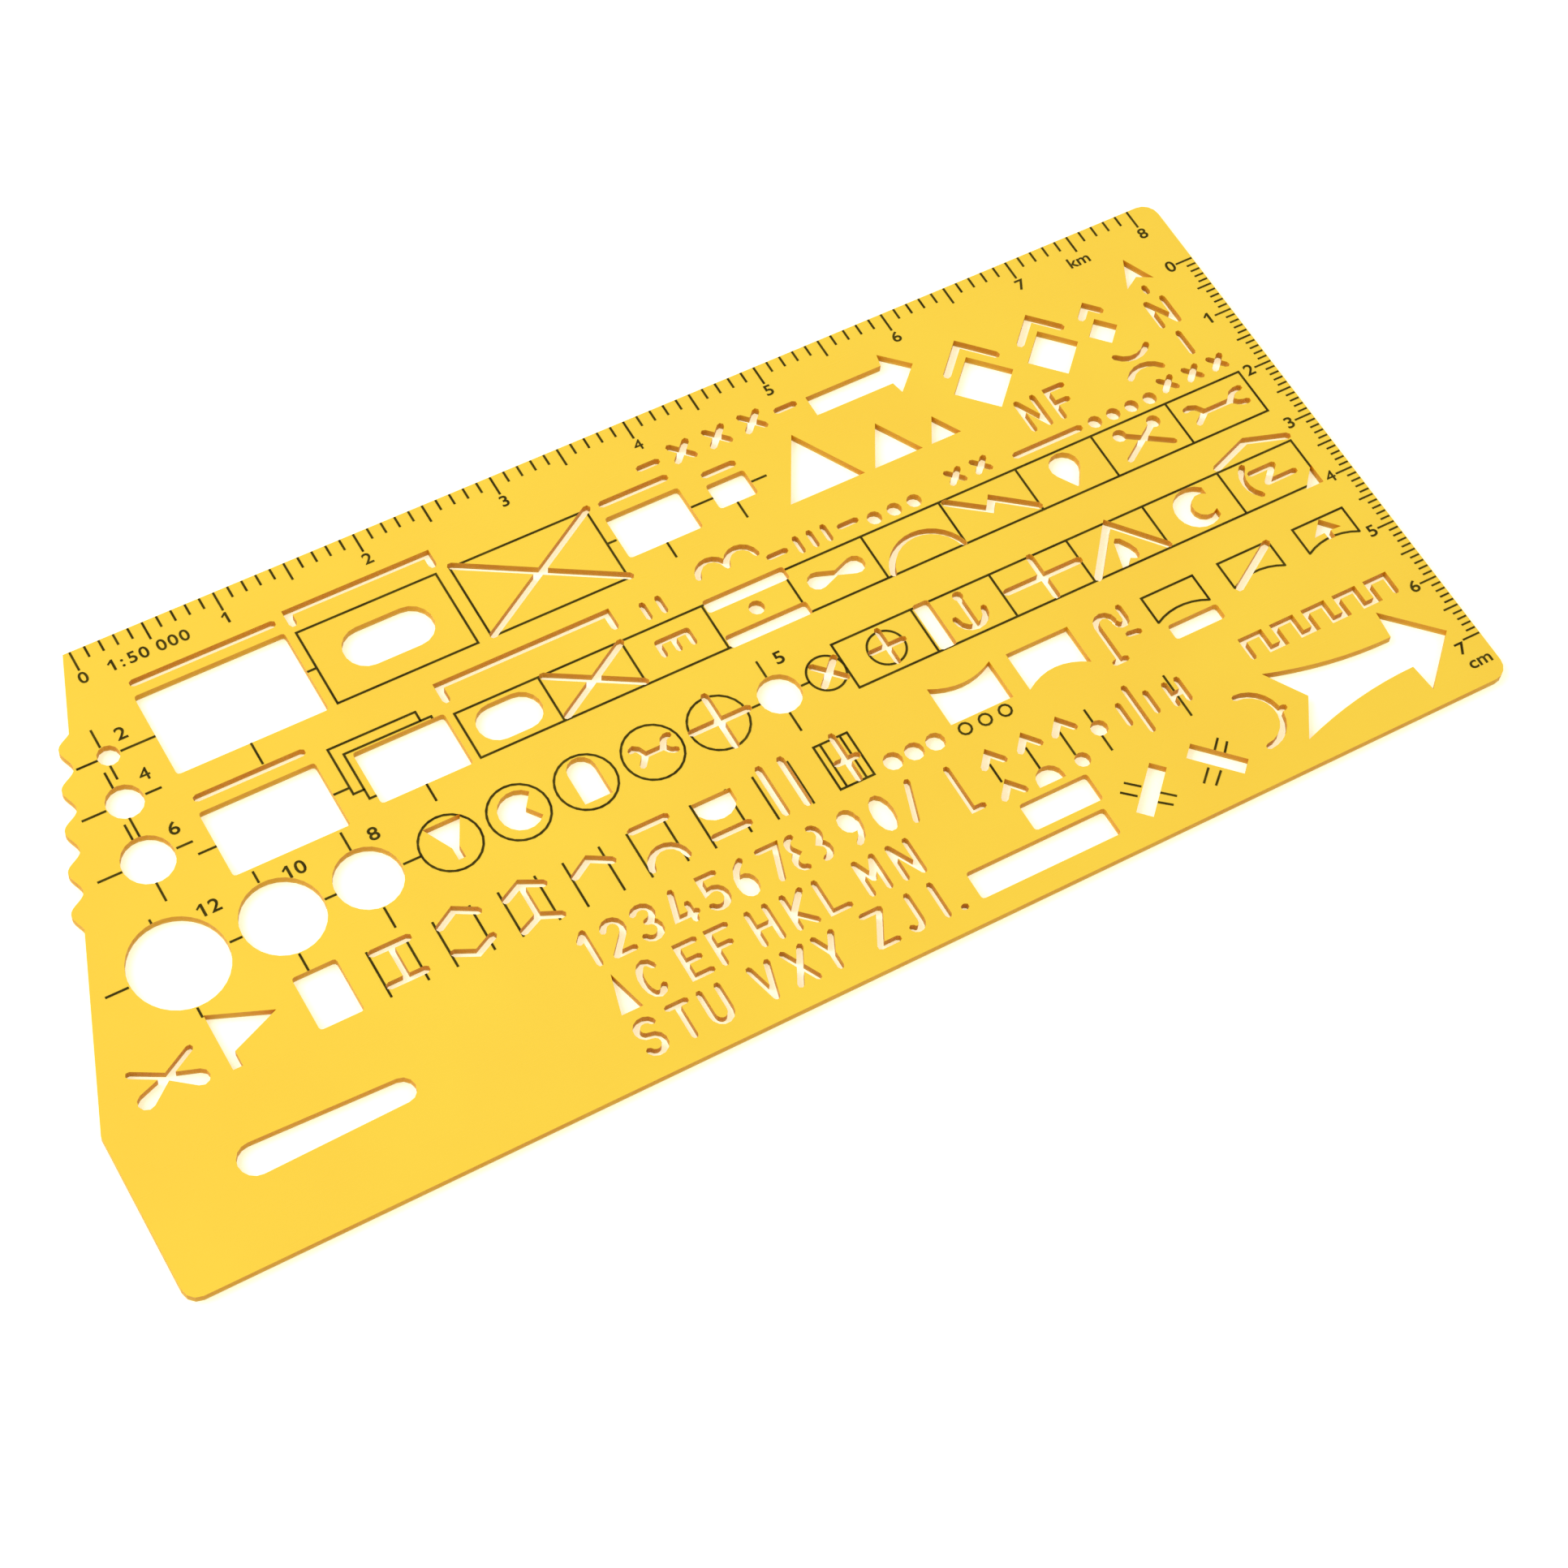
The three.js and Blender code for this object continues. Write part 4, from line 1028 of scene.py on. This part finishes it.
@dataclass
class Studio:
    """A pale floor, soft light and the camera, in metres and degrees."""

    floor_size: float = 2.0
    floor_drop: float = 0.00002
    floor_tone: Colour = (0.82, 0.84, 0.90, 1.0)
    # lifts the seen floor to white; its warm tint is a painted glow, cream where the floor is shaded, for
    # light through the plastic
    floor_lift_and_glow: Colour = (0.58, 0.51, 0.27, 1.0)
    sky: Colour = (1.0, 1.0, 1.0, 1.0)
    sky_light: float = 0.74
    sky_shown: float = 1.0
    lamp_place: Place = (-0.75, 0.55, 0.95)
    lamp_target: Place = (0.0, 0.02, 0.0)
    lamp_size: float = 0.9
    lamp_power: float = 8.5
    lens: float = 87.887
    sensor: float = 36.0
    clip: Span = (0.01, 20.0)
    camera_place: Place = (-0.14492, -0.2191, 0.41417)
    camera_turn: Place = (31.124, -3.64, -29.67)

    def seen_directly(self, wiring: Wiring) -> bpy.types.NodeSocket:
        """Adds nodes that tell a ray that shows the background from one that lights.

        Args:
            wiring: The material's or the world's tree.

        Returns:
            A socket that is 1 for camera, glossy and transmission rays.
        """
        rays = wiring.node("LightPath")
        shows = rays.outputs["Is Camera Ray"]
        for name in ("Is Glossy Ray", "Is Transmission Ray"):
            either = wiring.node("Math", operation="MAXIMUM")
            wiring.join(shows, either.inputs[0])
            wiring.join(rays.outputs[name], either.inputs[1])
            shows = either.outputs["Value"]
        return shows

    def light_world(self) -> None:
        """Makes a white world that lights softly."""
        world = bpy.data.worlds.new("studio_world")
        world.use_nodes = True
        wiring = Wiring(world.node_tree)
        background = world.node_tree.nodes["Background"]
        background.inputs["Color"].default_value = self.sky
        strength = wiring.node("Mix", {"A": self.sky_light, "B": self.sky_shown})
        wiring.join(self.seen_directly(wiring), strength.inputs["Factor"])
        wiring.join(strength.outputs["Result"], background.inputs["Strength"])
        bpy.context.scene.world = world

    def floor_finish(self) -> bpy.types.Material:
        """Makes a matt floor that is lifted to white where it is seen; the lift is tinted cream, a painted
        glow of yellow light through the plastic that shows where the floor is shaded.

        Returns:
            The material.
        """
        material = bpy.data.materials.new("pale_floor")
        material.use_nodes = True
        wiring = Wiring(material.node_tree)
        nodes = material.node_tree.nodes
        nodes.remove(nodes["Principled BSDF"])
        matt = wiring.node("BsdfDiffuse", {"Color": self.floor_tone})
        lift = wiring.node("Emission", {"Color": self.floor_lift_and_glow})
        both = wiring.node("AddShader")
        wiring.join(self.seen_directly(wiring), lift.inputs["Strength"])
        wiring.join(matt.outputs["BSDF"], both.inputs[0])
        wiring.join(lift.outputs["Emission"], both.inputs[1])
        wiring.join(both.outputs["Shader"], nodes["Material Output"].inputs["Surface"])
        return material

    def lay_floor(self) -> bpy.types.Object:
        """Lays the pale floor, which keeps the object's shadow.

        Returns:
            The floor.
        """
        shape = bmesh.new()
        bmesh.ops.create_grid(shape, x_segments=1, y_segments=1, size=self.floor_size / 2)
        bmesh.ops.translate(shape, verts=shape.verts, vec=(0.0, 0.0, -self.floor_drop))
        floor = add_object("floor", to_mesh(shape, "floor"))
        floor.data.materials.append(self.floor_finish())
        return floor

    def hang_lamp(self) -> bpy.types.Object:
        """Hangs one large soft lamp over the far left.

        Returns:
            The lamp.
        """
        data = bpy.data.lights.new("key_lamp", "AREA")
        data.shape = "SQUARE"
        data.size = self.lamp_size
        data.energy = self.lamp_power
        lamp = add_object("key_lamp", data)
        lamp.location = self.lamp_place
        aim = Vector(self.lamp_target) - Vector(self.lamp_place)
        lamp.rotation_euler = aim.to_track_quat("-Z", "Y").to_euler()
        return lamp

    def set_camera(self) -> bpy.types.Object:
        """Sets the camera at the photographed angle.

        Returns:
            The camera.
        """
        data = bpy.data.cameras.new("camera")
        data.lens = self.lens
        data.sensor_width = self.sensor
        data.clip_start, data.clip_end = self.clip
        camera = add_object("camera", data)
        camera.location = self.camera_place
        camera.rotation_euler = Euler([math.radians(angle) for angle in self.camera_turn], "XYZ")
        bpy.context.scene.camera = camera
        return camera

    def build(self) -> None:
        """Builds the floor, the light and the camera."""
        self.light_world()
        for made in (self.lay_floor(), self.hang_lamp(), self.set_camera()):
            LOG.info("%s is in place", made.name)
        bpy.context.scene.view_settings.view_transform = "Standard"


def main() -> None:
    """Builds the studio, dresses the sheet and prints the marks."""
    logging.basicConfig(level=logging.INFO, format="%(name)s %(message)s")
    Studio().build()
    effects = Effects(SoftClouds().group(), HandlingMarks().group())
    ink = PrintInk().material(effects)
    Sheet({Slot.SHEET: TintedPlastic().material(effects), Slot.INK: ink}).dress()
    stencil = Stencil()
    for figure in (LongScale, ShortScale, CircleMarks, FrameLinks, BridgeLines, SmallRings, ArrowShafts):
        figure().build(stencil, ink)
    stencil.discard()


if __name__ == "__main__":
    main()
